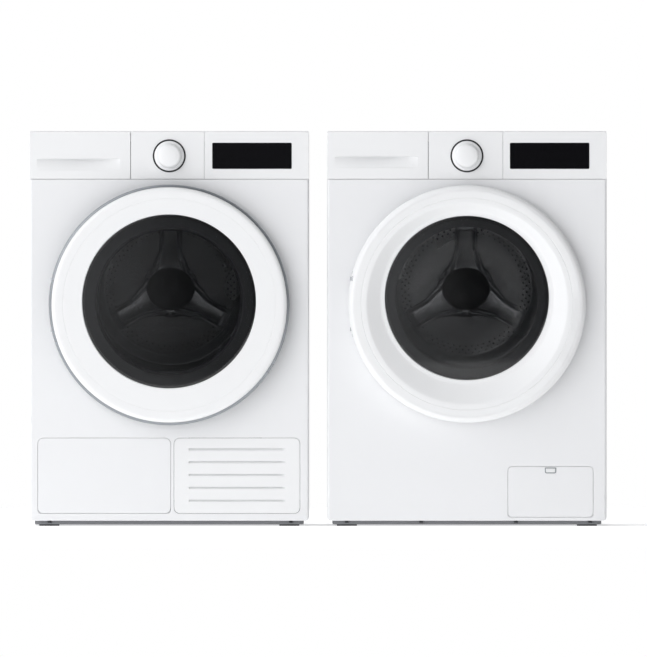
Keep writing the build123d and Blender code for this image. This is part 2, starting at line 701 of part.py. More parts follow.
def lifters(r, y0, y1, count):
    """Paddles that stand in from the drum wall between the star's arms."""
    inside = rod(0, y0, y1, AXIS_Z, r)
    parts = []
    for k in range(count):
        pts = [(-34, 0, -r - 4), (-14, 0, -r + 56), (14, 0, -r + 56), (34, 0, -r - 4)]
        bar = extrude(make_face(Polyline(pts, close=True)), amount=y1 - y0, dir=(0, 1, 0))
        bar = fillet(bar.edges().filter_by(Axis.Y).sort_by(Axis.Z)[-2:], 10)
        parts.append((Pos(0, y0, AXIS_Z) * Rot(0, 360 / count * k, 0) * bar) & inside)
    return parts


def drum_shaft():
    y0 = WASHER_DRUM_Y0 + WASHER_DRUM_L
    arms = rod(0, y0, y0 + 14, AXIS_Z, 44)
    for k in range(3):
        arm = block(-20, 20, 0, 12, 0, WASHER_DRUM_R - 6)
        arms = arms + Pos(0, y0, AXIS_Z) * Rot(0, 120 * k, 0) * arm
    return arms + rod(0, y0 + 12, PULLEY_Y, AXIS_Z, SHAFT_R)


def drum_pulley():
    r = DRUM_PULLEY_R
    wheel = tube(0, PULLEY_Y, PULLEY_Y + PULLEY_T, AXIS_Z, r, r - 8)
    wheel = wheel + rod(0, PULLEY_Y, PULLEY_Y + 6, AXIS_Z, r - 7)
    wheel = wheel + rod(0, PULLEY_Y, PULLEY_Y + PULLEY_T, AXIS_Z, 26)
    for k in range(6):
        a = math.radians(60 * k)
        wheel = wheel - rod(78 * math.cos(a), PULLEY_Y - 1, PULLEY_Y + 20, AXIS_Z + 78 * math.sin(a), 28)
    return wheel


def belt(z0, r0, x1, z1, r1, y):
    """An open belt round two pulleys, just clear of both."""
    def loop(extra):
        big = Pos(0, AXIS_Z) * Circle(r0 + extra)
        small = Pos(x1, z1) * Circle(r1 + extra)
        return make_hull(big.edges() + small.edges())
    band = loop(RUN + BELT_T) - loop(RUN)
    return Pos(0, y + BELT_W, 0) * Rot(90, 0, 0) * extrude(band, BELT_W)


def washer_motor():
    y0, y1 = PULLEY_Y - 150, PULLEY_Y - 14
    case = rod(0, y0, y1, WASHER_MOTOR_Z, 66)
    case = case + block(-90, 90, y0 + 30, y0 + 90, WASHER_MOTOR_Z + 40, WASHER_MOTOR_Z + 62)
    case = case - rod(0, y0 + 10, y1 - 10, WASHER_MOTOR_Z, ROTOR_R + ROTOR_GAP)
    return case - rod(0, y1 - 40, y1 + 1, WASHER_MOTOR_Z, 7 + FIT)


def washer_motor_pulley():
    """Rotor, shaft and the small pulley, turning as one."""
    shaft = rod(0, PULLEY_Y - 50, PULLEY_Y + PULLEY_T, WASHER_MOTOR_Z, 7)
    rotor = rod(0, PULLEY_Y - 138, PULLEY_Y - 26, WASHER_MOTOR_Z, ROTOR_R)
    return shaft + rotor + rod(0, PULLEY_Y, PULLEY_Y + PULLEY_T, WASHER_MOTOR_Z, MOTOR_PULLEY_R)


def leaf(x, w, z, h):
    """A small door whose rounded lower edge turns about its own axis."""
    r = LEAF_T / 2
    body = plate(x, x + w, 0, LEAF_T, z, z + h, 8.0)
    return body & (
        block(x, x + w, 0, LEAF_T, z + r, z + h)
        + Pos(x + w / 2, r, z + r) * Rot(0, 90, 0) * Cylinder(r, w)
    )


def filter_flap():
    x = FLAP_X + FLAP_W / 2
    z1 = FLAP_Z + FLAP_H
    tab = plate(x - 10, x + 10, -1.2, 1.0, z1 - 13, z1 - 2, 3.0)
    clip = block(x - 7, x + 7, LEAF_T - 1, LEAF_T + 4, z1 - 12, z1 - 8)
    return leaf(FLAP_X, FLAP_W, FLAP_Z, FLAP_H) + tab + clip


def service_door():
    rib = block(SERVICE_X + 20, SERVICE_X + SERVICE_W - 20, LEAF_T - 1, LEAF_T + 3, SERVICE_Z + 60, SERVICE_Z + 66)
    return leaf(SERVICE_X, SERVICE_W, SERVICE_Z, SERVICE_H) + rib


# ------------------------------------------------------------- dryer fixed

def dryer_front():
    front = front_shell()
    front = front - rod(0, -1, 30, DRYER_GLASS_Z, DRYER_OPENING_R)
    front = front - leaf_opening(SERVICE_X, SERVICE_W, SERVICE_Z, SERVICE_H)
    front = front - leaf_opening(GRILLE_X, GRILLE_W, SERVICE_Z, SERVICE_H)
    return front - lock_slot(DRYER_RING_R, DRYER_RING_Z)


def grille():
    x0, x1 = GRILLE_X, GRILLE_X + GRILLE_W
    panel = plate(x0, x1, 0, LEAF_T, SERVICE_Z, SERVICE_Z + SERVICE_H, 8.0)
    frame = block(x0 + 12, x1 - 12, LEAF_T - 1, BASE_Y - 0.5, SERVICE_Z + 10, SERVICE_Z + SERVICE_H - 10)
    frame = frame - block(x0 + 16, x1 - 16, 0, 20, SERVICE_Z + 14, SERVICE_Z + SERVICE_H - 14)
    panel = panel + frame
    middle = (x0 + x1) / 2
    for i in range(GRILLE_SLOTS):
        z = SERVICE_Z + SERVICE_H / 2 + (i - (GRILLE_SLOTS - 1) / 2) * GRILLE_PITCH
        cut = plate(
            middle - GRILLE_SLOT_L / 2, middle + GRILLE_SLOT_L / 2, -1, LEAF_T + 1,
            z - GRILLE_SLOT_H / 2, z + GRILLE_SLOT_H / 2, GRILLE_SLOT_H / 2 - 0.01,
        )
        panel = panel - cut
    return panel


def roller_place(side):
    """Where a support roller sits so that its rim just clears the drum."""
    reach = DRYER_DRUM_R + ROLLER_R + RUN
    a = math.radians(ROLLER_ANGLE)
    return side * reach * math.sin(a), AXIS_Z - reach * math.cos(a)


def bulkheads():
    y0 = DRYER_DRUM_Y0 - 20
    wide = HALF - SHEET - 1
    z0, z1 = 215.0, TRAY_Z - 6
    hole = DRYER_MOUTH_R - 8
    front = block(-wide, wide, y0, y0 + 3, z0, z1)
    front = front - rod(0, y0 - 1, y0 + 4, AXIS_Z, hole)
    collar = tube(0, y0 + 3, DRYER_DRUM_Y0 + 8, AXIS_Z, DRYER_MOUTH_R - 4, hole)
    # a skewed sleeve runs from the door opening to the bulkhead
    first = SHEET + RUN
    shell = cone(first, DRYER_GLASS_Z, DRYER_OPENING_R + 3, y0, AXIS_Z, hole + 3)
    slot = block(-113, 113, 43, y0 - 2, 226, 350)
    sleeve = shell - cone(first, DRYER_GLASS_Z, DRYER_OPENING_R, y0, AXIS_Z, hole) - slot
    filter_box = block(-118, 118, 40, y0, 222, 312) - slot - shell
    axles = []
    for side in (-1, 1):
        x, z = roller_place(side)
        axles.append(rod(x, y0 + 3, DRYER_DRUM_Y0 + 30, z, 5))
    y1 = DRYER_DRUM_Y0 + DRYER_DRUM_L + 16
    rear = block(-wide, wide, y1, y1 + 3, z0, z1)
    rear = rear + tube(0, y1 - 6, y1 + 14, AXIS_Z, 30, 12 + FIT)
    rear = rear - rod(0, y1 - 7, y1 + 15, AXIS_Z, 12 + FIT)
    return [front, collar, sleeve, filter_box, rear] + axles


def roller(side):
    x, z = roller_place(side)
    y0 = DRYER_DRUM_Y0 + 6
    return tube(x, y0, y0 + 18, z, ROLLER_R, 5 + FIT)


def dryer_drum():
    r, w = DRYER_DRUM_R, DRUM_WALL
    y0, y1 = DRYER_DRUM_Y0, DRYER_DRUM_Y0 + DRYER_DRUM_L
    m = DRYER_MOUTH_R
    return spun(0, AXIS_Z, [
        (m, y0), (r, y0), (r, y1), (0, y1), (0, y1 - w), (r - w, y1 - w), (r - w, y0 + w), (m, y0 + w),
    ])


def dryer_star():
    y1 = DRYER_DRUM_Y0 + DRYER_DRUM_L
    journal = rod(0, y1, y1 + 28, AXIS_Z, 12)
    return [star(135, y1 - 12, y1 - DRUM_WALL), journal]


def heat_pump():
    """Two finned exchangers behind the service door and a compressor."""
    evaporator = block(-262, -60, 30, 130, 60, 180)
    condenser = block(-262, -60, 140, 250, 60, 180)
    for y0, y1, core in ((30, 130, evaporator), (140, 250, condenser)):
        for i in range(9):
            x = -250 + 22 * i
            core = core - block(x, x + 8, y0 - 1, y1 + 1, 70, 170)
        if y0 == 30:
            evaporator = core
        else:
            condenser = core
    compressor = post(-160, 400, 60, 200, 62)
    compressor = compressor + (Pos(-160, 400, 200) * Cylinder(40, 16))
    legs = block(-210, -110, 350, 450, 53, 62)
    return [evaporator, condenser, compressor + legs]


def dryer_motor():
    y0, y1 = DRYER_BELT_Y + 30, DRYER_BELT_Y + 150
    case = rod(DRYER_SHAFT_X, y0, y1, DRYER_SHAFT_Z, 58)
    case = case + block(DRYER_SHAFT_X - 50, DRYER_SHAFT_X + 50, y0 + 20, y1 - 20, 53, 110)
    case = case - rod(DRYER_SHAFT_X, y0 - 1, y1 + 1, DRYER_SHAFT_Z, 6 + FIT)
    y2 = DRYER_DRUM_Y0 + DRYER_DRUM_L + 12
    scroll = tube(DRYER_SHAFT_X, y1 + 8, y2, DRYER_SHAFT_Z, FAN_R + 10, FAN_R + 6)
    scroll = scroll + tube(DRYER_SHAFT_X, y1 + 8, y1 + 11, DRYER_SHAFT_Z, FAN_R + 10, 20)
    return [case, scroll]


def dryer_fan():
    y0, y1 = DRYER_BELT_Y, DRYER_BELT_Y + 150
    shaft = rod(DRYER_SHAFT_X, y0, y1 + 50, DRYER_SHAFT_Z, 6)
    wheel = shaft + rod(DRYER_SHAFT_X, y0, y0 + BELT_W, DRYER_SHAFT_Z, DRYER_PULLEY_R)
    wheel = wheel + rod(DRYER_SHAFT_X, y1 + 40, y1 + 43, DRYER_SHAFT_Z, FAN_R)
    for k in range(12):
        blade = block(-1.5, 1.5, y1 + 14, y1 + 41, 48, FAN_R - 1)
        wheel = wheel + Pos(DRYER_SHAFT_X, 0, DRYER_SHAFT_Z) * Rot(0, 30 * k, 0) * blade
    return wheel


def lint_filter():
    y0, y1 = 45.0, DRYER_DRUM_Y0 - 24
    frame = block(-110, 110, y0, y1, 230, 318)
    frame = frame - block(-106, 106, y0 + 3, y1 - 3, 234, 330)
    return frame + block(-40, 40, y0 + 3, y0 + 7, 300, 330)


def dryer_back():
    d = DRYER_DEPTH
    back = rear_plate(d)
    return back - rod(-230, d - 9, d + 9, 760, 9.0)


# --------------------------------------------------------------- all nodes

def build_shared():
    both = list(MACHINES)
    deep = {m: MACHINES[m][1] for m in both}
    rings = {"dryer": (DRYER_RING_R, DRYER_RING_Z), "washer": (WASHER_RING_R, WASHER_RING_Z)}
    save("side_panels", [place(m, s) for m in both for s in side_panels(deep[m])])
    save("worktops", [place(m, worktop(deep[m])) for m in both])
    save("rear_panels", [place("dryer", dryer_back()), place("washer", washer_back())])
    save("levelling_feet", [place(m, f) for m in both for f in feet(deep[m])])
    save("displays", [place(m, display()) for m in both])
    save("control_boards", [place(m, board()) for m in both])
    save("knob_rings", [place(m, knob_ring()) for m in both])
    save("hinge_brackets", [place(m, hinge_bracket(*rings[m])) for m in both])
    save("door_locks", [place(m, door_lock(*rings[m])) for m in both])
    motors = [place("washer", washer_motor())] + [place("dryer", s) for s in dryer_motor()]
    save("motors", motors)
    belts = [
        place("washer", belt(AXIS_Z, DRUM_PULLEY_R, 0, WASHER_MOTOR_Z, MOTOR_PULLEY_R, PULLEY_Y + 3)),
        place("dryer", belt(AXIS_Z, DRYER_DRUM_R, DRYER_SHAFT_X, DRYER_SHAFT_Z, DRYER_PULLEY_R, DRYER_BELT_Y)),
    ]
    save("drive_belts", belts)
    screws = []
    for m, places in (("dryer", (43, 559)), ("washer", (42, 201, 404, 563))):
        for x in places:
            head = Pos(x - HALF, BASE_Y - 4.1, PLINTH_Z - 2.1) * Cylinder(4.0, 4.0)
            screws.append(place(m, head))
    save("panel_screws", screws)


def build_washer():
    save_for("washer", "front_panel", washer_front())
    save_for("washer", "base", base_tray(WASHER_DEPTH))
    save_for("washer", "fascia", fascia("washer"))
    save_for("washer", "dispenser_housing", tray_housing(WASHER_TRAY_L, True))
    save_for("washer", "tub", tub())
    save_for("washer", "door_seal", seal())
    save_for("washer", "bearings", *bearings())
    save_for("washer", "counterweight", counterweight())
    save_for("washer", "suspension", *suspension())
    save_for("washer", "drain_pump", drain_pump())
    save_for("washer", "water_pipes", *water_pipes())
    save_for("washer", "door_frame", washer_door_frame())
    save_for("washer", "door_inner_frame", washer_inner_frame())
    save_for("washer", "door_window", washer_window())
    save_for("washer", "door_bowl", washer_bowl())
    save_for("washer", "door_fittings", *door_fittings(WASHER_RING_R, WASHER_RING_Z))
    save_for("washer", "drum", washer_drum())
    y1 = WASHER_DRUM_Y0 + WASHER_DRUM_L
    save_for("washer", "drum_lifters", *lifters(WASHER_DRUM_R - DRUM_WALL, WASHER_DRUM_Y0 + 30, y1 - 20, 3))
    save_for("washer", "drum_star", star(135, y1 - 12, y1 - DRUM_WALL))
    save_for("washer", "drum_shaft", drum_shaft())
    save_for("washer", "drum_pulley", drum_pulley())
    save_for("washer", "motor_pulley", washer_motor_pulley())
    save_for("washer", "knob", knob())
    save_for("washer", "drawer", washer_drawer())
    save_for("washer", "filter_flap", filter_flap())
    save_for("washer", "filter_cap", filter_cap())


def build_dryer():
    save_for("dryer", "front_panel", dryer_front())
    save_for("dryer", "base", base_tray(DRYER_DEPTH))
    save_for("dryer", "fascia", fascia("dryer"))
    save_for("dryer", "container_housing", tray_housing(DRYER_TRAY_L, False))
    save_for("dryer", "intake_grille", grille())
    save_for("dryer", "bulkheads", *bulkheads())
    save_for("dryer", "heat_pump", *heat_pump())
    save_for("dryer", "door_frame", dryer_door_frame())
    save_for("dryer", "door_trim", dryer_door_trim())
    save_for("dryer", "door_glass", dryer_door_glass())
    save_for("dryer", "door_liner", dryer_liner(), dryer_inner_window())
    save_for("dryer", "door_fittings", *door_fittings(DRYER_RING_R, DRYER_RING_Z))
    save_for("dryer", "drum", dryer_drum())
    y1 = DRYER_DRUM_Y0 + DRYER_DRUM_L
    save_for("dryer", "drum_lifters", *lifters(DRYER_DRUM_R - DRUM_WALL, DRYER_DRUM_Y0 + 30, y1 - 20, 3))
    save_for("dryer", "drum_star", *dryer_star())
    save_for("dryer", "knob", knob())
    save_for("dryer", "water_container", water_container())
    save_for("dryer", "service_door", service_door())
    save_for("dryer", "lint_filter", lint_filter())
    save_for("dryer", "fan", dryer_fan())
    save_for("dryer", "roller_left", roller(-1))
    save_for("dryer", "roller_right", roller(1))


os.makedirs("parts", exist_ok=True)
build_shared()
build_washer()
build_dryer()
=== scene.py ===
import json
import math

import bmesh
import bpy
from mathutils import Matrix, Vector


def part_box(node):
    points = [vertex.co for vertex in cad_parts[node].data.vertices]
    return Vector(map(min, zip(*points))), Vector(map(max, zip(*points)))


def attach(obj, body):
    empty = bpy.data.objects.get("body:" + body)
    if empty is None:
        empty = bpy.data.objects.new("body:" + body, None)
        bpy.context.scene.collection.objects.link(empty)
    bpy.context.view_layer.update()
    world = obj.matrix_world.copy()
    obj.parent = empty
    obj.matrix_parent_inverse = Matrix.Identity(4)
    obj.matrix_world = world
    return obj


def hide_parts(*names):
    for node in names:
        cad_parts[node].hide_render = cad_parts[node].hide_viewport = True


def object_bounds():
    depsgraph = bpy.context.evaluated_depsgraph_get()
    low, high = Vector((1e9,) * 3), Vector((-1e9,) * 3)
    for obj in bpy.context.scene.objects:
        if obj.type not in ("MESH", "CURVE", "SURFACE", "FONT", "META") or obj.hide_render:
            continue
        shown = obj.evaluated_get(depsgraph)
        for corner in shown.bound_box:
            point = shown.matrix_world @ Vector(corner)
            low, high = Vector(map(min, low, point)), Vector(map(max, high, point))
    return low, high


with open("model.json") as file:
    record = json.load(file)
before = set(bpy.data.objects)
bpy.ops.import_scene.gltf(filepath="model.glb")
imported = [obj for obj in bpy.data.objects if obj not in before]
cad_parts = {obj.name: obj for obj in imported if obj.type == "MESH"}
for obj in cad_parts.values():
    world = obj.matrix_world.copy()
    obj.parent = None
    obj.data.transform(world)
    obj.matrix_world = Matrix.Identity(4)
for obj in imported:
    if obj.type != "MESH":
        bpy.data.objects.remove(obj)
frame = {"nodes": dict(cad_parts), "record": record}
cad_low, cad_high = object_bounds()

# Room. A long lens in a white studio, level with the middle of the machines.
# Large soft boxes at the upper left light the fronts, and the side that faces
# the doors is dim, so that dark glass stays dark.
LENS_DISTANCE = 60.0
VIEW_HEIGHT = 1.405
VIEW_SHIFT_X = 0.0116

camera = bpy.data.objects.new("camera", bpy.data.cameras.new("camera"))
bpy.context.collection.objects.link(camera)
camera.data.sensor_width = 36.0
camera.data.lens = 36.0 * LENS_DISTANCE / VIEW_HEIGHT
camera.data.dof.use_dof = False
camera.data.clip_end = 100.0
camera.location = (VIEW_SHIFT_X, cad_low.y - LENS_DISTANCE, cad_high.z / 2)
camera.rotation_euler = (math.pi / 2, 0, 0)
bpy.context.scene.camera = camera
bpy.context.scene.view_settings.view_transform = "Standard"

room = bpy.data.worlds.new("studio")
bpy.context.scene.world = room
room.use_nodes = True
nodes, links = room.node_tree.nodes, room.node_tree.links
nodes.clear()


def node(tree, kind, **values):
    """A shader node with its plain inputs set by name."""
    made = tree.nodes.new(kind)
    for name, value in values.items():
        if name in made.inputs:
            made.inputs[name].default_value = value
        else:
            setattr(made, name, value)
    return made


def ramp(source, start, stop, first, last, kind="LINEAR"):
    """A value that runs from first to last while its source runs from start to stop."""
    made = node(room.node_tree, "ShaderNodeMapRange", interpolation_type=kind)
    links.new(source, made.inputs["Value"])
    for name, value in (("From Min", start), ("From Max", stop), ("To Min", first), ("To Max", last)):
        made.inputs[name].default_value = value
    return made.outputs[0]


def add(a, b):
    """The sum of two values in the room's tree."""
    made = node(room.node_tree, "ShaderNodeMath", operation="ADD")
    links.new(a, made.inputs[0])
    links.new(b, made.inputs[1])
    return made.outputs[0]


sight = node(room.node_tree, "ShaderNodeTexCoord")
split = node(room.node_tree, "ShaderNodeSeparateXYZ")
links.new(sight.outputs["Generated"], split.inputs[0])
# rays towards the front of the room darken, except low and to the left
ahead = ramp(split.outputs["Y"], -0.95, -0.35, 0.02, 0.10, "SMOOTHSTEP")
left = ramp(split.outputs["X"], -0.14, 0.02, 0.9, 0.0, "SMOOTHSTEP")
low = ramp(split.outputs["Z"], -0.044, -0.040, 0.16, 0.0)
lit = node(room.node_tree, "ShaderNodeBackground", Color=(0.985, 0.993, 1.02, 1))
links.new(add(add(ahead, left), low), lit.inputs["Strength"])
seen = node(room.node_tree, "ShaderNodeBackground", Color=(1, 1, 1, 1), Strength=1.0)
path = node(room.node_tree, "ShaderNodeLightPath")
choice = node(room.node_tree, "ShaderNodeMixShader")
links.new(path.outputs["Is Camera Ray"], choice.inputs[0])
links.new(lit.outputs[0], choice.inputs[1])
links.new(seen.outputs[0], choice.inputs[2])
end = node(room.node_tree, "ShaderNodeOutputWorld")
links.new(choice.outputs[0], end.inputs[0])


def softbox(name, place, target, size, power):
    """A square or oblong lamp turned towards a target."""
    lamp = bpy.data.objects.new(name, bpy.data.lights.new(name, "AREA"))
    bpy.context.collection.objects.link(lamp)
    lamp.data.shape = "RECTANGLE"
    lamp.data.size, lamp.data.size_y = size
    lamp.data.energy = power
    lamp.location = place
    lamp.rotation_euler = (Vector(target) - Vector(place)).to_track_quat("-Z", "Y").to_euler()
    return lamp


softbox("key_left", (-3.2, -3.6, 2.5), (0, 0, 0.45), (3.2, 3.2), 50)
softbox("fill_right", (3.2, -3.8, 1.4), (0, 0, 0.45), (2.0, 2.0), 3)
softbox("top", (0.0, -0.6, 3.6), (0, -0.2, 0), (3.5, 2.6), 12)
softbox("back_left", (-2.6, 3.2, 2.6), (0, 0, 0.4), (2.2, 2.2), 14)
softbox("back_right", (2.8, 3.0, 2.0), (0, 0, 0.4), (2.0, 2.0), 10)
# a broad front fill that glass and metal don't mirror
front = softbox("front_fill", (-1.8, -6.6, 1.1), (0, 0, 0.42), (3.0, 3.0), 32)
front.visible_glossy = False


# Finishes. Each is one procedural material: a base colour with a faint cloud,
# a roughness that varies a little, and a fine bump at the real grain's size.
def finish(name, colour, rough, metal=0.0, grain=900.0, bump=0.04, cloud=0.03, wear=0.06,
           alpha=1.0, stretch=(1, 1, 1), ior=1.5):
    material = bpy.data.materials.new(name)
    material.use_nodes = True
    tree = material.node_tree
    body = tree.nodes["Principled BSDF"]
    body.inputs["Metallic"].default_value = metal
    body.inputs["Alpha"].default_value = alpha
    body.inputs["IOR"].default_value = ior
    where = node(tree, "ShaderNodeTexCoord")
    turn = node(tree, "ShaderNodeMapping", Scale=stretch)
    tree.links.new(where.outputs["Object"], turn.inputs["Vector"])
    broad = node(tree, "ShaderNodeTexNoise", Scale=4.0, Detail=3.0)
    fine = node(tree, "ShaderNodeTexNoise", Scale=grain, Detail=4.0)
    for noise in (broad, fine):
        tree.links.new(turn.outputs[0], noise.inputs["Vector"])
    tint = node(tree, "ShaderNodeMix", data_type="RGBA")
    tint.inputs["A"].default_value = (*[c * (1 - cloud) for c in colour], 1)
    tint.inputs["B"].default_value = (*[min(1, c * (1 + cloud)) for c in colour], 1)
    tree.links.new(broad.outputs["Fac"], tint.inputs["Factor"])
    tree.links.new(tint.outputs["Result"], body.inputs["Base Color"])
    dull = node(tree, "ShaderNodeMapRange")
    dull.inputs["To Min"].default_value = max(0.02, rough - wear)
    dull.inputs["To Max"].default_value = rough + wear
    tree.links.new(broad.outputs["Fac"], dull.inputs["Value"])
    tree.links.new(dull.outputs[0], body.inputs["Roughness"])
    relief = node(tree, "ShaderNodeBump", Strength=bump, Distance=0.0005)
    tree.links.new(fine.outputs["Fac"], relief.inputs["Height"])
    tree.links.new(relief.outputs[0], body.inputs["Normal"])
    if alpha < 1:
        material.surface_render_method = "BLENDED"
    return material


GLASS = {"grain": 200, "bump": 0.003, "wear": 0.02}
MADE_OF = {
    "white_enamel": ((0.86, 0.865, 0.875), 0.30, {"grain": 420, "bump": 0.05, "cloud": 0.006}),
    "white_plastic": ((0.88, 0.885, 0.89), 0.34, {"grain": 1500, "bump": 0.05, "cloud": 0.005}),
    "white_matt": ((0.80, 0.81, 0.82), 0.5, {"grain": 1200, "bump": 0.1}),
    "grey_plastic": ((0.33, 0.34, 0.36), 0.48, {"grain": 1300, "bump": 0.12}),
    "trim_grey": ((0.30, 0.32, 0.34), 0.28, {"metal": 0.6, "grain": 1500, "bump": 0.03}),
    "black_plastic": ((0.012, 0.012, 0.014), 0.35, {"grain": 1400, "bump": 0.08}),
    "black_glass": ((0.004, 0.004, 0.005), 0.06, {"grain": 300, "bump": 0.004, "wear": 0.02}),
    "smoked_glass": ((0.010, 0.011, 0.013), 0.05, {**GLASS, "alpha": 0.55}),
    "clear_glass": ((0.01, 0.011, 0.012), 0.03,
                    {"grain": 160, "bump": 0.004, "wear": 0.01, "alpha": 0.12, "ior": 2.4}),
    "stainless": ((0.50, 0.51, 0.52), 0.26,
                  {"metal": 1.0, "grain": 700, "bump": 0.06, "stretch": (1, 0.05, 1)}),
    "galvanised": ((0.62, 0.64, 0.66), 0.42, {"metal": 0.85, "grain": 120, "bump": 0.08, "cloud": 0.1}),
    "cast_alloy": ((0.60, 0.61, 0.63), 0.24, {"metal": 1.0, "grain": 800, "bump": 0.06}),
    "rubber_grey": ((0.20, 0.205, 0.21), 0.62, {"grain": 900, "bump": 0.2}),
    "rubber_black": ((0.02, 0.02, 0.021), 0.7, {"grain": 900, "bump": 0.25}),
    "tub_plastic": ((0.60, 0.62, 0.63), 0.55, {"grain": 700, "bump": 0.2}),
    "concrete": ((0.36, 0.35, 0.33), 0.85, {"grain": 260, "bump": 0.6, "cloud": 0.12}),
    "cast_iron": ((0.06, 0.06, 0.065), 0.55, {"grain": 600, "bump": 0.3}),
    "washer_pane": ((0.004, 0.0045, 0.005), 0.05, {**GLASS, "alpha": 0.26, "ior": 2.3}),
    "dryer_pane": ((0.003, 0.0035, 0.004), 0.05, {**GLASS, "alpha": 0.32, "ior": 2.3}),
    "plinth_grey": ((0.17, 0.175, 0.185), 0.5, {"grain": 1300, "bump": 0.1}),
    "dark_clamp": ((0.03, 0.031, 0.034), 0.4, {"grain": 1300, "bump": 0.1}),
    "dryer_shell": ((0.035, 0.036, 0.040), 0.34, {"grain": 1300, "bump": 0.1}),
}
FINISHES = {name: finish(name, colour, rough, **more) for name, (colour, rough, more) in MADE_OF.items()}
slot_of = {part["node"]: part["material_slot"] for part in frame["record"]["subparts"]}
for name, cad in frame["nodes"].items():
    material = FINISHES[slot_of[name]]
    if not cad.material_slots:
        cad.data.materials.append(material)
    for place in cad.material_slots:
        place.material = material


# Worktops. Laminated boards with a softly rounded plastic edge, one on each
# cabinet, lying behind the fascia's top edge.
SIDES = {}
for name in ("dryer", "washer"):
    front_low, front_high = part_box(name + "_front_panel")
    place = Matrix.Translation(((front_low.x + front_high.x) / 2, front_low.y, 0))
    SIDES[name] = place @ Matrix.Scale(0.001, 4)
HALF = (front_high.x - front_low.x) * 500
HEIGHT = cad_high.z * 1000
FASCIA_Z = front_high.z * 1000 + 1
DEPTH = {"dryer": 600.0, "washer": 560.0}


def fresh(name, form, machine, body, slot, hides=(), angle=34, even=True, material=None):
    """Turns a form in a machine's own millimetres into a piece that rides on its body."""
    bmesh.ops.remove_doubles(form, verts=form.verts, dist=1e-4)
    bmesh.ops.dissolve_degenerate(form, dist=1e-5, edges=form.edges)
    bmesh.ops.recalc_face_normals(form, faces=form.faces)
    # flat faces keep their own normals where they run into a rounded edge
    straight = {f for f in form.faces if max(abs(c) for c in f.normal) > 0.99999}
    for edge in form.edges:
        if len(edge.link_faces) == 2:
            a, b = edge.link_faces
            edge.smooth = (a in straight) == (b in straight) and edge.calc_face_angle(0) < math.radians(angle)
    bmesh.ops.transform(form, matrix=SIDES[machine], verts=form.verts)
    mesh = bpy.data.meshes.new(name)
    form.to_mesh(mesh)
    form.free()
    mesh.materials.append(FINISHES[material or slot])
    for face in mesh.polygons:
        face.use_smooth = True
    piece = bpy.data.objects.new(name, mesh)
    bpy.context.collection.objects.link(piece)
    if even:
        smooth = piece.modifiers.new("even", "WEIGHTED_NORMAL")
        smooth.keep_sharp = True
        smooth.weight = 80
    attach(piece, body)
    if hides:
        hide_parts(*hides)
    return piece


def level(edge, axis, value):
    """True for an edge that lies at one value of an axis."""
    return all(abs(v.co[axis] - value) < 1e-3 for v in edge.verts)


def along(edge, axis):
    """True for an edge that runs along an axis."""
    span = edge.verts[0].co - edge.verts[1].co
    return abs(span[axis]) > 0.999 * span.length


def soften(form, edges, radius, segments=3):
    """Rounds edges; returns the new faces with the rest."""
    return bmesh.ops.bevel(form, geom=list(edges), offset=radius, segments=segments,
                           affect="EDGES", profile=0.5, material=-1)


def brick(form, x0, x1, y0, y1, z0, z1):
    """A plain block; returns its edges."""
    place = Matrix.Translation(((x0 + x1) / 2, (y0 + y1) / 2, (z0 + z1) / 2))
    place = place @ Matrix.Diagonal((x1 - x0, y1 - y0, z1 - z0, 1))
    made = bmesh.ops.create_cube(form, size=1.0, matrix=place)
    return {e for v in made["verts"] for e in v.link_edges}


def slab(form, x0, x1, y0, y1, z0, z1, corner=0.0, edge=0.0, steps=8):
    """A block with round corners seen from the front and soft front edges."""
    own = brick(form, x0, x1, y0, y1, z0, z1)
    if corner > 0:
        cut = soften(form, [e for e in own if along(e, 1)], corner, steps)
        own = {e for e in own if e.is_valid}
        own |= {e for f in cut["faces"] for v in f.verts for e in v.link_edges}
    if edge > 0:
        soften(form, [e for e in own if e.is_valid and level(e, 1, y0)], edge, 3)


for machine in SIDES:
    form = bmesh.new()
    own = brick(form, -HALF, HALF, 15.8, DEPTH[machine], HEIGHT - 22, HEIGHT)
    soften(form, [e for e in own if along(e, 2) and e.verts[0].co.y > 100], 8.0, 6)
    soften(form, {e for e in form.edges if level(e, 2, HEIGHT)}, 2.5, 4)
    fresh(machine + "_worktop", form, machine, "cabinets", "white_plastic", ["worktops"])


# Front panels. Enamelled sheet steel with folded sides, a rolled edge round the
# door opening, and openings for the lock and the small doors at the bottom.
def box_loop(form, x0, x1, z0, z1, y, low_radius=0.0, high_radius=0.0, steps=8):
    """A closed outline of edges, a rectangle whose lower and upper corners may be round."""
    place = Matrix.Translation(((x0 + x1) / 2, y, (z0 + z1) / 2)) @ Matrix.Rotation(math.pi / 2, 4, "X")
    place = place @ Matrix.Diagonal(((x1 - x0) / 2, (z1 - z0) / 2, 1, 1))
    made = bmesh.ops.create_grid(form, x_segments=1, y_segments=1, size=1.0, matrix=place)
    corners = {v: v.co.z > (z0 + z1) / 2 for v in made["verts"]}
    own = set(made["verts"])
    for upper, radius in ((False, low_radius), (True, high_radius)):
        if radius > 0:
            sharp = [v for v, high in corners.items() if high is upper]
            cut = bmesh.ops.bevel(form, geom=sharp, offset=radius, segments=steps, affect="VERTICES",
                                  profile=0.5, material=-1)
            own |= set(cut["verts"])
    own = {v for v in own if v.is_valid}
    face = max({f for v in own for f in v.link_faces}, key=lambda f: f.calc_area())
    edges = list(face.edges)
    bmesh.ops.delete(form, geom=[face], context="FACES_ONLY")
    return edges


def ring(form, z, radius, y, steps=128, x=0.0):
    """A circle of edges facing the front."""
    place = Matrix.Translation((x, y, z)) @ Matrix.Rotation(math.pi / 2, 4, "X")
    made = bmesh.ops.create_circle(form, segments=steps, radius=radius, matrix=place)
    return list({e for v in made["verts"] for e in v.link_edges})


def fill(form, edges):
    """Flat faces inside outlines, with the inner ones left open."""
    bmesh.ops.triangle_fill(form, use_beauty=True, edges=edges)


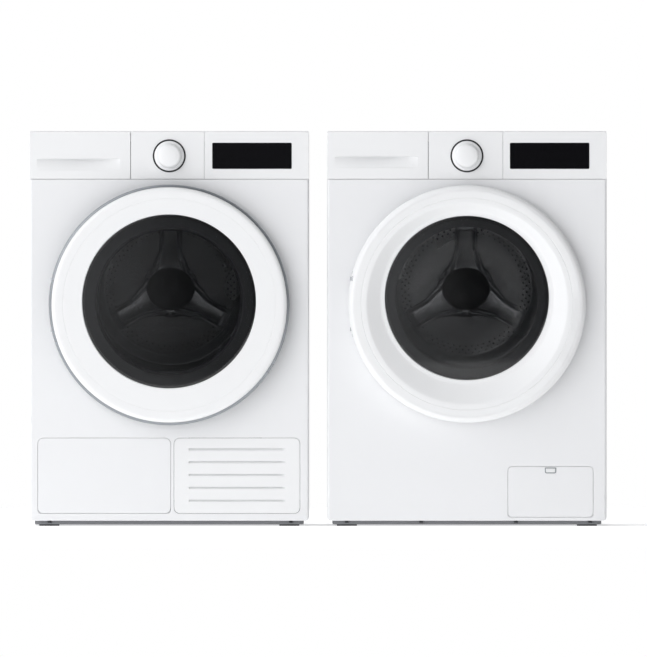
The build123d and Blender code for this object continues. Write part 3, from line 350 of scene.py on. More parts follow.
def push_back(form, edges, depth):
    """Walls running straight back from an outline."""
    made = bmesh.ops.extrude_edge_only(form, edges=edges)
    verts = [g for g in made["geom"] if isinstance(g, bmesh.types.BMVert)]
    bmesh.ops.translate(form, verts=verts, vec=(0, depth, 0))
    return [g for g in made["geom"] if isinstance(g, bmesh.types.BMEdge)]


RINGS = {"dryer": (257.5, 473.0), "washer": (254.0, 475.0)}
DOOR_HOLE = {"dryer": (480.5, 192.0), "washer": (488.0, 176.0)}
# left, right, bottom, top, leaf corner, lower corner of the opening
LEAVES = {
    "dryer": [(-281, 3, 27, 188, 12, 8), (10.5, 279.5, 27, 188, 12, 12)],
    "washer": [(88, 270, 19, 127, 9, 6)],
}
LEAF_GAP = 0.6
LEDGE = {"service": [(0, 0, 4.5), (5, 5, 4.5)], "grille": [(0, 0, 7.8)]}


def box_skin(form, x0, x1, z0, z1, low, high, steps):
    """Walls through outlines, each given as shrink of the sides, of the ends, and depth."""
    loops = []
    for side, end, y in steps:
        less = max(side, end)
        loops.append(box_loop(form, x0 + side, x1 - side, z0 + end, z1 - end, y,
                              max(0, low - less), max(0, high - less)))
    for a, b in zip(loops, loops[1:]):
        bmesh.ops.bridge_loops(form, edges=a + b)
    return loops[0]


QUARTER = [math.radians(18 * k) for k in range(6)]
LIP = [(-0.8 * (1 - math.sin(a)), -0.8 * (1 - math.sin(a)), 0.8 * (1 - math.cos(a))) for a in QUARTER]
FOLD = [(5 * (1 - math.sin(a)), 0.8 * (1 - math.sin(a)), 5 * (1 - math.cos(a))) for a in QUARTER]
for machine in SIDES:
    form = bmesh.new()
    outline = box_skin(form, -HALF, HALF, 11, FASCIA_Z - 1, 7.5, 0, FOLD + [(0, 0, 20)])
    hole_z, hole_r = DOOR_HOLE[machine]
    rings = [ring(form, hole_z, hole_r - side, y) for side, _, y in LIP + [(0, 0, 9)]]
    for a, b in zip(rings, rings[1:]):
        bmesh.ops.bridge_loops(form, edges=a + b)
    outline += rings[0]
    lock_x, lock_z = RINGS[machine][0] - 38, RINGS[machine][1]
    outline += box_skin(form, lock_x - 9, lock_x + 18, lock_z - 16, lock_z + 16, 2, 2, LIP + [(0, 0, 3.9)])
    for x0, x1, z0, z1, corner, low_corner in LEAVES[machine]:
        outline += box_skin(form, x0 - LEAF_GAP, x1 + LEAF_GAP, z0 - LEAF_GAP, z1 + LEAF_GAP, low_corner,
                            corner + LEAF_GAP, LIP + LEDGE["grille" if x0 == 10.5 else "service"])
    fill(form, outline)
    piece = fresh(machine + "_front_sheet", form, machine, "cabinets", "white_enamel",
                  [machine + "_front_panel"], even=False)
    wall = piece.modifiers.new("sheet", "SOLIDIFY")
    wall.thickness, wall.offset = 0.0010, -1.0


# Fascias. Moulded strips across the top in two lengths with a hairline joint,
# one behind the knob and one that holds the display.
def grid_marks(points, step):
    """The sorted points, with even fillers no further apart than the step."""
    points = sorted(set(points))
    out = [points[0]]
    for a, b in zip(points, points[1:]):
        count = max(1, math.ceil((b - a) / step))
        out += [a + (b - a) * k / count for k in range(1, count + 1)]
    return out


def ease(a, b, value):
    """Runs smoothly from 0 at a to 1 at b."""
    t = min(1.0, max(0.0, (value - a) / (b - a)))
    return t * t * (3 - 2 * t)


def relief(form, xs, zs, depth, corner=0.0, edge=1.0, back=None):
    """A front face whose depth follows a rule, with round corners, a soft rim and side walls."""
    made = bmesh.ops.create_grid(form, x_segments=len(xs) - 1, y_segments=len(zs) - 1, size=1.0)
    x0, x1, z0, z1 = xs[0], xs[-1], zs[0], zs[-1]
    mid_x, mid_z = (x0 + x1) / 2, (z0 + z1) / 2
    for v in made["verts"]:
        x = xs[round((v.co.x + 1) / 2 * (len(xs) - 1))]
        z = zs[round((v.co.y + 1) / 2 * (len(zs) - 1))]
        inset = min(x - x0, x1 - x, z - z0, z1 - z)
        drop = edge - math.sqrt(max(0, edge ** 2 - max(0, edge - inset) ** 2)) if edge > 0 else 0
        moved = depth(x, z)
        y, z = (moved[0] + drop, z + moved[1]) if isinstance(moved, tuple) else (moved + drop, z)
        if corner > 0:
            u = (abs(x - mid_x) - (x1 - x0) / 2 + corner) / corner
            w = (abs(z - mid_z) - (z1 - z0) / 2 + corner) / corner
            if u > 0 and w > 0:
                across = (x1 - x0) / 2 - corner + corner * u * math.sqrt(1 - w * w / 2)
                upward = (z1 - z0) / 2 - corner + corner * w * math.sqrt(1 - u * u / 2)
                x = mid_x + math.copysign(across, x - mid_x)
                z = mid_z + math.copysign(upward, z - mid_z)
        v.co = (x, y, z)
    if back is not None:
        rim = list({e for v in made["verts"] for e in v.link_edges if e.is_boundary})
        grown = push_back(form, rim, 1.0)
        for e in grown:
            for v in e.verts:
                v.co.y = back
        fill(form, grown)
    return made["verts"]


def rim_marks(a, b, edge):
    """Marks that follow a soft rim at both ends of a span."""
    near = [edge * t for t in (0, 0.08, 0.25, 0.5, 1.0)]
    return [a + t for t in near] + [b - t for t in near]


STRIP_LEFT, STRIP_BACK = -82.0, 15.4
JOINTS = {"dryer": 75.0, "washer": 77.0}
for machine in SIDES:
    joint = JOINTS[machine]
    form = bmesh.new()
    for x0, x1 in ((STRIP_LEFT, joint - 0.25), (joint + 0.25, HALF)):
        own = brick(form, x0, x1, 0, STRIP_BACK, FASCIA_Z - 0.5, HEIGHT - 1)
        if x1 == HALF:
            upper_right = [e for e in own if along(e, 1)]
            upper_right = [e for e in upper_right if e.verts[0].co.x > x1 - 1 and e.verts[0].co.z > 800]
            soften(form, upper_right, 3.0, 5)
    soften(form, [e for e in form.edges if level(e, 1, 0)], 0.7, 3)
    fresh(machine + "_fascia_strips", form, machine, "cabinets", "white_plastic", [machine + "_fascia"])
    # the carrier behind the strips and the drawer, open where the tray runs
    form = bmesh.new()
    rim = box_loop(form, -HALF + 2, HALF - 2, FASCIA_Z, 822.7, 15.5)
    gap = box_loop(form, -287, -95, 770, 820, 15.5, 3, 3, 4)
    fill(form, rim + gap)
    push_back(form, rim, 3)
    push_back(form, gap, 3)
    fresh(machine + "_fascia_carrier", form, machine, "cabinets", "grey_plastic", even=False)


# Drawer and water container. Hollow mouldings with a white front that carries a
# scooped grip; the washer's tray has three open chambers and the dryer's is a
# closed tank with a filling hole.
def tank(form, x0, x1, y0, y1, z0, z1, wells):
    """An open-topped tray made as one relief seen from above."""
    lip = 0.15
    xs, ys = [x0, x1], [y0, y1]
    for a, b, c, d, floor in wells:
        xs += [a, a + lip, b - lip, b]
        ys += [c, c + lip, d - lip, d]

    def depth(x, z):
        for a, b, c, d, floor in wells:
            if a < x < b and c < -z < d:
                return z1 - floor
        return 0.0
    rows = sorted(-y for y in grid_marks(ys, 40))
    made = relief(form, grid_marks(xs, 40), rows, depth, edge=0.0, back=z1 - z0)
    fresh_verts = {v for seed in made for f in seed.link_faces for v in f.verts}
    seen = set(fresh_verts)
    while fresh_verts:
        fresh_verts = {w for v in fresh_verts for e in v.link_edges for w in e.verts} - seen
        seen |= fresh_verts
    for v in seen:
        v.co = (v.co.x, -v.co.z, z1 - v.co.y)


SCOOP = {"dryer": HEIGHT - 59, "washer": HEIGHT - 54}
# the hollow's left end, width and height, then the tray's outer box
SCOOP_LEFT, SCOOP_WIDE, SCOOP_DROP = -283.0, 178.0, 24.4
TRAY_LEFT, TRAY_RIGHT, TRAY_LOW, TRAY_HIGH, TRAY_FRONT = -285, -97, 772, 818, 15.2
DRAWER_BODY = {
    "dryer": ("dryer_container_body", "dryer_water_container"),
    "washer": ("washer_drawer_body", "washer_drawer"),
}
for machine in SIDES:
    top = SCOOP[machine]

    # the straight lip hangs over a hollow that runs up behind it, then slopes out to a crisp edge
    hollow = {top - 0.05: (2.0, 0), top - 0.3: (3.0, 5.0), top - 0.6: (8.0, 6.0), top - 0.9: (12.0, 3.0)}

    def scoop(x, z):
        if z > top or z < top - SCOOP_DROP:
            return 0.0
        across = math.sin(math.pi * min(1, max(0, (x - SCOOP_LEFT) / SCOOP_WIDE))) ** 0.8
        for mark, (inward, upward) in hollow.items():
            if abs(z - mark) < 0.02:
                return inward * across, upward * across
        return across * (1.0 + 11.6 * ((z - top + SCOOP_DROP) / (SCOOP_DROP - 0.9)) ** 1.6)

    form = bmesh.new()
    xs = [-HALF + t for t in (0, 0.08, 0.25, 0.6, 1.2, 3)]
    xs += [STRIP_LEFT - 1 - t for t in (1.2, 0.6, 0.25, 0.08, 0)]
    xs = grid_marks(xs + [SCOOP_LEFT, SCOOP_LEFT + 2, -107, -105], 4.0)
    zs = rim_marks(FASCIA_Z - 0.5, HEIGHT - 1, 1.0) + [top + 0.2, top - 1.6, top - 24.3, top - 24.9]
    zs = grid_marks(zs + list(hollow), 1.6)
    relief(form, xs, zs, scoop, edge=1.0, back=TRAY_FRONT)
    body, node_name = DRAWER_BODY[machine]
    fresh(machine + "_drawer_front", form, machine, body, "white_plastic", [node_name], angle=40)
    form = bmesh.new()
    if machine == "washer":
        wells = [(a, b, 21, 312, TRAY_LOW + 3) for a, b in ((-282, -209), (-206, -169), (-166, -100))]
        tank(form, TRAY_LEFT, TRAY_RIGHT, TRAY_FRONT, 315.5, TRAY_LOW, TRAY_HIGH, wells)
    else:
        own = brick(form, TRAY_LEFT, TRAY_RIGHT, TRAY_FRONT, 415.5, TRAY_LOW, TRAY_HIGH)
        soften(form, own, 3.0, 3)
        place = Matrix.Translation(((TRAY_LEFT + TRAY_RIGHT) / 2, 375, TRAY_HIGH + 0.6))
        bmesh.ops.create_cone(form, cap_ends=True, segments=48, radius1=14, radius2=13, depth=1.2,
                              matrix=place)
    fresh(machine + "_drawer_tray", form, machine, body, "white_matt")


# Knobs and displays. A thin black ring and a white skirt lie round each domed
# cap; the display is a flat black glass plate.
def bend(points, steps=4, close=False):
    """Rounds an outline where a point carries a fourth number, the length given to the bend."""
    out = []
    count = len(points)
    for i, point in enumerate(points):
        here = Vector(point[:3])
        if len(point) < 4 or (not close and i in (0, count - 1)):
            out.append(here)
            continue
        a, b = Vector(points[i - 1][:3]) - here, Vector(points[(i + 1) % count][:3]) - here
        start, stop = here + a.normalized() * point[3], here + b.normalized() * point[3]
        for k in range(steps + 1):
            t = k / steps
            out.append(start.lerp(here, t).lerp(here.lerp(stop, t), t))
    return out


def lathe(form, points, close=False, steps=128, ends=False, bends=4):
    """A skin swept round circles given as height of centre, radius and depth."""
    path = bend(points, bends, close)
    path += path[:1] if close else []
    made = bmesh.ops.create_grid(form, x_segments=len(path) - 1, y_segments=steps, size=1.0)
    for v in made["verts"]:
        z, radius, y = path[round((v.co.x + 1) / 2 * (len(path) - 1))]
        turn = 2 * math.pi * round((v.co.y + 1) / 2 * steps) / steps
        v.co = (radius * math.sin(turn), y, z + radius * math.cos(turn))
    bmesh.ops.remove_doubles(form, verts=made["verts"], dist=1e-4)
    if ends:
        bmesh.ops.holes_fill(form, edges=[e for e in form.edges if e.is_boundary], sides=0)


KNOB_Z = 792.0
for machine in SIDES:
    form = bmesh.new()
    c = KNOB_Z
    band = [(c, 32.0, 0), (c, 32.0, -1.2, 0.3), (c, 35.3, -1.2, 0.3), (c, 35.3, 0)]
    lathe(form, band, close=True, steps=96, bends=2)
    fresh(machine + "_knob_ring", form, machine, "cabinets", "black_plastic", ["knob_rings"])
    form = bmesh.new()
    lathe(form, [(c, 31.6, -0.3), (c, 31.7, -2.9, 0.5), (c, 26.4, -5.0, 1.6), (c, 26.0, -9, 1),
                 (c, 25.4, -15.5, 3.0), (c, 22.6, -19.8, 2.6), (c, 14, -21.4, 3), (c, 5, -21.9),
                 (c, 1.0, -22.0)], steps=96, ends=True)
    body = machine + "_knob_body"
    fresh(machine + "_knob_cap", form, machine, body, "white_plastic", [machine + "_knob"], angle=60)
    form = bmesh.new()
    slab(form, 92, 262, -0.6, 2.4, 764, 820, corner=2.5, edge=0.3)
    fresh(machine + "_display_glass", form, machine, "cabinets", "black_glass", ["displays"])


# Door rings. Thick white mouldings with a rounded rim. The washer's has a fine
# groove and a dished cone that leads off-centre to the glass; the dryer's is
# flat with a crease and a dark metal trim. Slots at the left clear the hinge.
HINGE_SPREAD = 54


def hinge_gaps(form, machine, reach_front):
    """Opens the rim and the back where the two hinge arms swing."""
    radius, middle = RINGS[machine]
    for side in (-1, 1):
        z = middle + side * HINGE_SPREAD
        for cut in (z - 5, z + 5):
            near = [f for f in form.faces if f.calc_center_median().x < -150]
            geom = near + list({e for f in near for e in f.edges}) + list({v for f in near for v in f.verts})
            bmesh.ops.bisect_plane(form, geom=geom, plane_co=(0, 0, cut), plane_no=(0, 0, 1))
        gone = []
        for f in form.faces:
            c = f.calc_center_median()
            far = math.hypot(c.x, c.z - middle)
            if abs(c.z - z) < 5 and c.x < -215 and c.y > reach_front[side] and far > radius - 27:
                gone.append(f)
        bmesh.ops.delete(form, geom=gone, context="FACES")


# front face, then the heights of the washer's ring, cone and glass centres
WASHER_FRONT, WC, WL, WG = -45.0, RINGS["washer"][1], 486.0, DOOR_HOLE["washer"][0]
form = bmesh.new()
outline = [
    (WC, 247, -6.0, 2), (WC, 254, -12.5, 2), (WC, 254, -36, 5), (WC, 246.5, -44.6, 5),
    (WC, 240, WASHER_FRONT, 2), (WC, 227.3, WASHER_FRONT, 0.4), (WC, 226.5, -44.0),
    (WC, 225.7, WASHER_FRONT, 0.4), (WC, 219, WASHER_FRONT), (WC, 215, WASHER_FRONT, 3.0),
    (WL, 187, -31, 2.2), (WL + 0.5, 184, -30.2, 1), (WG - 0.2, 176.2, -29.6, 0.8),
    (WG, 175.3, -25.5), (WC, 228, -25.5), (WC, 228, -6.0),
]
lathe(form, outline, close=True, steps=160)
# the finger grip is a shallow hollow in the right edge of the rim
for v in form.verts:
    far = math.hypot(v.co.x, v.co.z - WC)
    turn = math.degrees(math.atan2(v.co.z - WC, v.co.x))
    if v.co.y < -30 and 229 < far:
        v.co.y += 2.2 * ease(229, 240, far) * ease(-31, -26, turn) * (1 - ease(2, 7, turn))
hinge_gaps(form, "washer", {-1: -34, 1: -41})
fresh("washer_door_ring", form, "washer", "washer_door", "white_plastic", ["washer_door_frame"], angle=50)

# heights of the dryer's ring and glass centres
DC, DG = RINGS["dryer"][1], DOOR_HOLE["dryer"][0]
form = bmesh.new()
outline = [
    (DC, 246, -6.0, 1), (DC, 251.9, -6.0, 1), (DC, 251.9, -40, 3.5), (DC, 246, -44.7, 3), (DC, 240, -45),
    (DC, 228.1, -45, 0.3), (DC, 227.5, -44.35), (DC, 226.9, -45, 0.3), (DC, 200, -44.9),
    (DG, 187.2, -44.9, 0.8), (DG, 186.0, -43.5, 0.6), (DG, 185.7, -36.5), (DC, 229, -32), (DC, 229, -6.0),
]
lathe(form, outline, close=True, steps=160)
hinge_gaps(form, "dryer", {-1: -34, 1: -34})
fresh("dryer_door_ring", form, "dryer", "dryer_door", "white_plastic", ["dryer_door_frame"], angle=50)
form = bmesh.new()
outline = [
    (DC, 252.0, -6.0, 0.6), (DC, 257.5, -9.5, 1), (DC, 257.5, -33.0, 1.6), (DC, 255.5, -36.6, 1.2),
    (DC, 252.0, -37.4, 0.4),
]
lathe(form, outline, close=True, steps=160, bends=3)
hinge_gaps(form, "dryer", {-1: -34, 1: -34})
fresh("dryer_door_band", form, "dryer", "dryer_door", "trim_grey", ["dryer_door_trim"], angle=50)


# Door glass and what shows through it. Domed smoked panes with a printed black
# border, the washer's pressed glass bowl and dark clamp ring, and the dryer's
# grey liner with its own clear inner window.
def dome(z, radius, rim_y, rise, thick, count=7):
    """An outline across a domed pane, from its middle to its rim and back."""
    front = [(z, radius * math.sin(math.pi / 2 * k / count) if k else 0.8,
              rim_y - rise * (1 - math.sin(math.pi / 2 * k / count) ** 2)) for k in range(count)]
    front += [(z, radius - 0.6, rim_y), (z, radius, rim_y + 0.7)]
    return front + [(z, radius, rim_y + thick - 0.4), (z, radius - 0.8, rim_y + thick),
                    (z, radius * 0.6, rim_y + thick - rise * 0.62), (z, 0.8, rim_y + thick - rise)]


form = bmesh.new()
lathe(form, dome(WG, 174.8, -29.4, 3.4, 3.4), ends=True)
fresh("washer_pane", form, "washer", "washer_door", "smoked_glass", ["washer_door_window"], angle=50,
      material="washer_pane")
form = bmesh.new()
lathe(form, [(WG, 167.5, -25.4), (WG, 174.5, -25.6), (WG, 174.5, -24.8), (WG, 167.5, -24.7)], close=True)
fresh("washer_pane_border", form, "washer", "washer_door", "black_plastic")
form = bmesh.new()
lathe(form, [
    (WG, 151.6, -24.4, 2), (WG, 168, -24.4), (WC, 227.6, -24.6), (WC, 227.6, -6.2, 2),
    (WC, 216, -6.2), (WC, 210, -15, 4), (WC, 196, -15, 4), (WC, 191, -6.2), (WG, 158, -6.2, 3),
    (WG, 151.6, -9, 2),
], close=True)
fresh("washer_clamp_ring", form, "washer", "washer_door", "grey_plastic", ["washer_door_inner_frame"],
      angle=50, material="dark_clamp")
form = bmesh.new()
lathe(form, [
    (WG, 151.2, -20), (WG, 150.4, -17.5, 0.6), (WG, 148.8, 14, 8), (WG, 139, 38, 12), (WG, 116, 57, 14),
    (WG, 88, 62, 10), (WG, 40, 62), (WG, 1, 62),
], bends=6)
lathe(form, [
    (WG, 151.2, -20), (WG, 144.6, -18, 0.6), (WG, 143.2, 13, 8), (WG, 133.8, 34.5, 12), (WG, 113, 51.8, 14),
    (WG, 87, 56, 10), (WG, 40, 56), (WG, 1, 56),
], bends=6)
fresh("washer_glass_bowl", form, "washer", "washer_door", "clear_glass", ["washer_door_bowl"], angle=50)

form = bmesh.new()
lathe(form, dome(DG, 185.0, -42.2, 2.3, 4.6), ends=True)
fresh("dryer_pane", form, "dryer", "dryer_door", "smoked_glass", ["dryer_door_glass"], angle=50,
      material="dryer_pane")
form = bmesh.new()
lathe(form, [(DG, 179, -36.9), (DG, 185.0, -37.3), (DG, 185.0, -36.6), (DG, 179, -36.3)], close=True)
fresh("dryer_pane_border", form, "dryer", "dryer_door", "black_plastic")
form = bmesh.new()
lathe(form, [
    (DG, 157, -33, 2.5), (DG, 184, -33), (DC, 228.6, -31.5), (DC, 228.6, -6.3, 2), (DC, 216, -6.3),
    (DC, 210, -15, 3), (DC, 192, -15, 3), (DG, 174, -6.3, 2), (DG, 167, 28, 3), (DG, 163, 30, 1),
    (DG, 152.2, 30, 1), (DG, 152.2, 20, 2), (DG, 154, 16, 2),
], close=True)
fresh("dryer_door_inner_shell", form, "dryer", "dryer_door", "grey_plastic", ["dryer_door_liner"], angle=50,
      material="dryer_shell")
form = bmesh.new()
lathe(form, [(DG, 1, 22), (DG, 80, 22), (DG, 151.2, 22), (DG, 151.9, 22.6), (DG, 151.9, 25.6),
             (DG, 151.2, 26), (DG, 80, 26), (DG, 1, 26)], ends=True)
fresh("dryer_inner_window", form, "dryer", "dryer_door", "clear_glass")


# Drums. Stainless shells with rows of perforations, a pressed back plate, and a
# three-armed cast star with a black hub cap in front of it.
def fan_out(form, verts, z, turn):
    """Turns points about the drum's axis."""
    bmesh.ops.rotate(form, verts=verts, cent=(0, 0, z), matrix=Matrix.Rotation(turn, 3, "Y"))


def arm(form, back, axis_z):
    """One arm of the star: ridged edges, a sunk middle, and a flared root."""
    across = [-1, -0.97, -0.9, -0.8, -0.68, -0.5, 0, 0.5, 0.68, 0.8, 0.9, 0.97, 1]
    rise = {1: 0, 0.97: 6.5, 0.9: 9.6, 0.8: 9.9, 0.68: 7.0, 0.5: 6.0, 0: 6.6}
    radii = grid_marks([30, 44, 52, 60, 75, 100, 128, 134, 138], 6)
    made = bmesh.ops.create_grid(form, x_segments=len(across) - 1, y_segments=len(radii) - 1, size=1.0)
    for v in made["verts"]:
        u = across[round((v.co.x + 1) / 2 * (len(across) - 1))]
        r = radii[round((v.co.y + 1) / 2 * (len(radii) - 1))]
        half = 24.5 + 14.5 * (1 - ease(44, 92, r)) + 7 * (1 - ease(36, 50, r))
        end = 1 - ease(131, 138, r)
        half = half - 5 * (1 - math.sqrt(max(0, 1 - (1 - end) ** 2)))
        swell = 1.6 * (1 - ease(50, 100, r)) * (abs(u) < 1)
        v.co = (u * half, back - rise[abs(u)] * (0.15 + 0.85 * end) - swell, axis_z + r)
    rim = list({e for v in made["verts"] for e in v.link_edges if e.is_boundary})
    grown = push_back(form, rim, 0)
    for e in grown:
        for v in e.verts:
            v.co.y = back + 0.8
    fill(form, grown)


# radius, front, back and radius of the mouth; then the axis height, the sheet's
# thickness and the depth of the ring pressed into the back plate
DRUMS = {"washer": (232.0, 92.0, 418.0, 182.0), "dryer": (250.0, 88.0, 500.0, 214.0)}
AXIS = 508.0
SHELL, PRESSED = 1.5, 14
for machine, (radius, y0, y1, mouth) in DRUMS.items():
    body = machine + "_drum_body"
    form = bmesh.new()
    front = y0 - (5 if machine == "washer" else 0)
    inner, y_in = radius - SHELL, y1 - SHELL
    lathe(form, [
        (AXIS, 30, y1, 0), (AXIS, 142, y1, 2), (AXIS, 163, y1 - PRESSED, 3),
        (AXIS, 192, y1 - PRESSED, 3),
        (AXIS, 204, y1, 3), (AXIS, radius - 0.2, y1, 5), (AXIS, radius, y1 - 60), (AXIS, radius, y0 + 40),
        (AXIS, radius, y0 + 1, 6), (AXIS, mouth + 8, y0 + 0.5, 3), (AXIS, mouth + 2.6, front, 1.5),
        (AXIS, mouth, front, 1.0), (AXIS, mouth + 4, y0 + 2.5, 3), (AXIS, inner, y0 + SHELL + 1, 5),
        (AXIS, inner, y0 + 30), (AXIS, inner, y1 - 60), (AXIS, inner, y_in, 4), (AXIS, 204, y_in, 3),
        (AXIS, 192, y_in - PRESSED, 3), (AXIS, 163, y_in - PRESSED, 3), (AXIS, 142, y_in, 2),
        (AXIS, 30, y_in),
    ], close=True, steps=144)
    fresh(machine + "_drum_shell", form, machine, body, "stainless", [machine + "_drum"], angle=40)

    form = bmesh.new()
    back = y1 - 1.6
    plate = [(AXIS, 62, back), (AXIS, 60, back - 4.5, 2), (AXIS, 48, back - 6.5, 2), (AXIS, 30, back - 6.5)]
    lathe(form, plate, steps=96)
    for k in range(3):
        before = set(form.verts)
        arm(form, back, AXIS)
        fan_out(form, [v for v in form.verts if v not in before], AXIS, math.radians(120 * k))
    fresh(machine + "_star_arms", form, machine, body, "cast_alloy", [machine + "_drum_star"], angle=50,
          even=False)
    form = bmesh.new()
    hub = [(AXIS, 47.5, back - 6.4), (AXIS, 47.5, back - 13, 3), (AXIS, 43, back - 17, 3),
           (AXIS, 30, back - 19, 4), (AXIS, 8, back - 19.8), (AXIS, 1, back - 19.9)]
    lathe(form, hub, steps=96, ends=True)
    # the cap is a little wider than high
    for v in form.verts:
        v.co.x *= 1.09
        v.co.z = AXIS + (v.co.z - AXIS) * 0.965
    fresh(machine + "_hub_cap", form, machine, body, "black_plastic", angle=50)

    # perforations: three rings on the back plate and staggered rows along the wall
    form = bmesh.new()

    def dot(place, size):
        bmesh.ops.create_cone(form, cap_ends=True, segments=8, radius1=size, radius2=size, depth=0.3,
                              matrix=place)

    facing = Matrix.Rotation(math.pi / 2, 4, "X")
    for r, shift in ((124, 0), (131, 0.5), (138, 0)):
        for k in range(60):
            turn = Matrix.Rotation(2 * math.pi * (k + shift) / 60, 4, "Y")
            place = turn @ Matrix.Translation((0, y_in - 0.04, r))
            dot(Matrix.Translation((0, 0, AXIS)) @ place @ facing, 2.0)
    rows = 9 if machine == "washer" else 11
    for row in range(rows):
        y = y0 + 34 + row * (y1 - y0 - 60) / (rows - 1)
        for k in range(48):
            turn = 2 * math.pi * (k + (row % 2) / 2) / 48
            # the three lifters cover the wall here
            from_lifter = (math.degrees(turn) - 60) % 120
            if from_lifter < 9 or from_lifter > 111:
                continue
            place = Matrix.Translation((0, y, AXIS)) @ Matrix.Rotation(turn, 4, "Y")
            place = place @ Matrix.Translation((0, 0, inner - 0.02))
            dot(place, 1.9)
    fresh(machine + "_drum_holes", form, machine, body, "black_plastic", even=False)


# Small doors at the foot. The dryer's heat-exchanger door and its louvred
# panel, whose five slots are shallow scoops under a sharp upper edge, and the
# washer's filter flap with a latch tab in a grey surround.
SERVICE, GRILLE, FLAP = LEAVES["dryer"][0], LEAVES["dryer"][1], LEAVES["washer"][0]
for name, machine, body, node_name, leaf in (
        ("service_leaf", "dryer", "dryer_service_body", "dryer_service_door", SERVICE),
        ("flap_leaf", "washer", "washer_flap_body", "washer_filter_flap", FLAP)):
    x0, x1, z0, z1, corner, low_corner = leaf
    form = bmesh.new()
    slab(form, x0, x1, 0, 3.6, z0, z1, corner=corner, edge=0.9, steps=10)
    heel = [e for e in form.edges if level(e, 1, 3.6) and along(e, 0) and e.verts[0].co.z < z0 + 1]
    soften(form, heel, 1.6, 4)
    if name == "service_leaf":
        rib = brick(form, x0 + 20, x1 - 20, 3.5, 6.6, z0 + 60, z0 + 66)
        soften(form, [e for e in rib if level(e, 1, 6.6)], 0.8)
    else:
        brick(form, (x0 + x1) / 2 - 7, (x0 + x1) / 2 + 7, 3.5, 7.6, z1 - 12, z1 - 8)
    fresh(machine + "_" + name, form, machine, body, "white_enamel", [node_name])

x0, x1, z0, z1, corner, low_corner = GRILLE
middle_x, middle_z = (x0 + x1) / 2, (z0 + z1) / 2
SLOTS = [middle_z + (i - 2) * 27.5 for i in range(5)]


def louvre(x, z):
    """Depth of the panel, with five slots that fade out at their right end."""
    for slot_z in SLOTS:
        fall = slot_z + 3.4 - z
        if -0.01 < fall < 4.6:
            start = ease(middle_x - 103.6, middle_x - 102.6, x)
            stop = 1 - ease(middle_x + 95, middle_x + 103.5, x)
            return 5.5 * start * stop * (1 - fall / 4.6) ** 0.9
    return 0.0


form = bmesh.new()
xs = grid_marks(rim_marks(x0, x1, 0.9) + [middle_x - 103.6, middle_x - 103.1, middle_x - 102.6, middle_x + 92,
                                          middle_x + 104], 4.0)
zs = rim_marks(z0, z1, 0.9)
for slot_z in SLOTS:
    zs += [slot_z + 3.6, slot_z + 3.4, slot_z + 3.1, slot_z + 2.2, slot_z + 1.0, slot_z, slot_z - 1.2]
relief(form, xs, grid_marks(zs, 7), louvre, corner=12, edge=0.9, back=7.5)
fresh("dryer_louvre_panel", form, "dryer", "cabinets", "white_plastic", ["dryer_intake_grille"], angle=38)

form = bmesh.new()
tab_x, tab_z = (FLAP[0] + FLAP[1]) / 2, FLAP[3] - 7.5
own = box_loop(form, tab_x - 12, tab_x + 12, tab_z - 7, tab_z + 5.2, -0.1, 3.5, 0.6)
inner = box_loop(form, tab_x - 10.2, tab_x + 10.2, tab_z - 5.2, tab_z + 3.6, -0.1, 2.4, 0.4)
bmesh.ops.bridge_loops(form, edges=own + inner)
bmesh.ops.solidify(form, geom=form.faces[:], thickness=-0.6)
fresh("washer_latch_surround", form, "washer", "washer_flap_body", "trim_grey")
form = bmesh.new()
slab(form, tab_x - 9.6, tab_x + 9.6, -1.2, 0.6, tab_z - 4.6, tab_z + 3.2, corner=1.8, edge=0.5)
fresh("washer_latch_tab", form, "washer", "washer_flap_body", "white_plastic")


# Plinths and feet. Grey moulded trays set back behind the front, with round
# ends, and black levelling feet with a flat nut.
for machine in SIDES:
    form = bmesh.new()
    depth = DEPTH[machine]
    outer = HALF - 11
    own = brick(form, -outer, outer, 8, depth - 8, 3, 52)
    soften(form, [e for e in own if along(e, 2)], 14, 8)
    soften(form, {e for e in form.edges if level(e, 2, 3)}, 3.0, 4)
    top = max(form.faces, key=lambda f: f.calc_center_median().z)
    bmesh.ops.inset_region(form, faces=[top], thickness=4.0)
    bmesh.ops.translate(form, verts=top.verts, vec=(0, 0, -44))
    fresh(machine + "_plinth", form, machine, "cabinets", "grey_plastic", [machine + "_base"],
          material="plinth_grey")
    form = bmesh.new()
    for x in (-HALF + 42, HALF - 42):
        for y in (42, depth - 42):
            for z, radius, tall, sides in ((1.5, 22, 3.0, 40), (7.0, 17, 8.0, 40), (15.5, 11, 8.0, 6)):
                bmesh.ops.create_cone(form, cap_ends=True, segments=sides, radius1=radius,
                                      radius2=radius - 0.6, depth=tall, matrix=Matrix.Translation((x, y, z)))
    fresh(machine + "_feet", form, machine, "cabinets", "rubber_black", ["levelling_feet"])


# Door seal. The washer's grey rubber bellows, a folded ring that grips the
# porthole's edge in front and the tub's lip behind.
form = bmesh.new()
outline = [
    (WG, 156, -1.0, 2), (WG, 160, -2.5, 1), (WG, 181.5, -2.5, 0.8), (WG, 181.5, -0.1, 0.4), (WG, 172.9, -0.1),
    (WG, 172.9, 14, 2), (WG + 2, 180, 18, 3), (WG + 5, 186, 26, 3), (WG + 9, 178, 33, 3),
    (WG + 13, 188, 41, 3), (AXIS, 190.5, 50, 2), (AXIS, 198, 60.7, 0.8), (AXIS, 198, 63.5, 0.8),
    (AXIS, 183.2, 63.5, 0.8), (AXIS, 183.2, 57, 3), (WG + 13, 183, 42, 3), (WG + 9, 172.5, 33, 3),
    (WG + 5, 180, 26, 3), (WG + 2, 170, 17, 4), (WG, 158, 12, 2),
]
lathe(form, outline, close=True, steps=144)
fresh("washer_bellows", form, "washer", "cabinets", "rubber_grey", ["washer_door_seal"], angle=50)


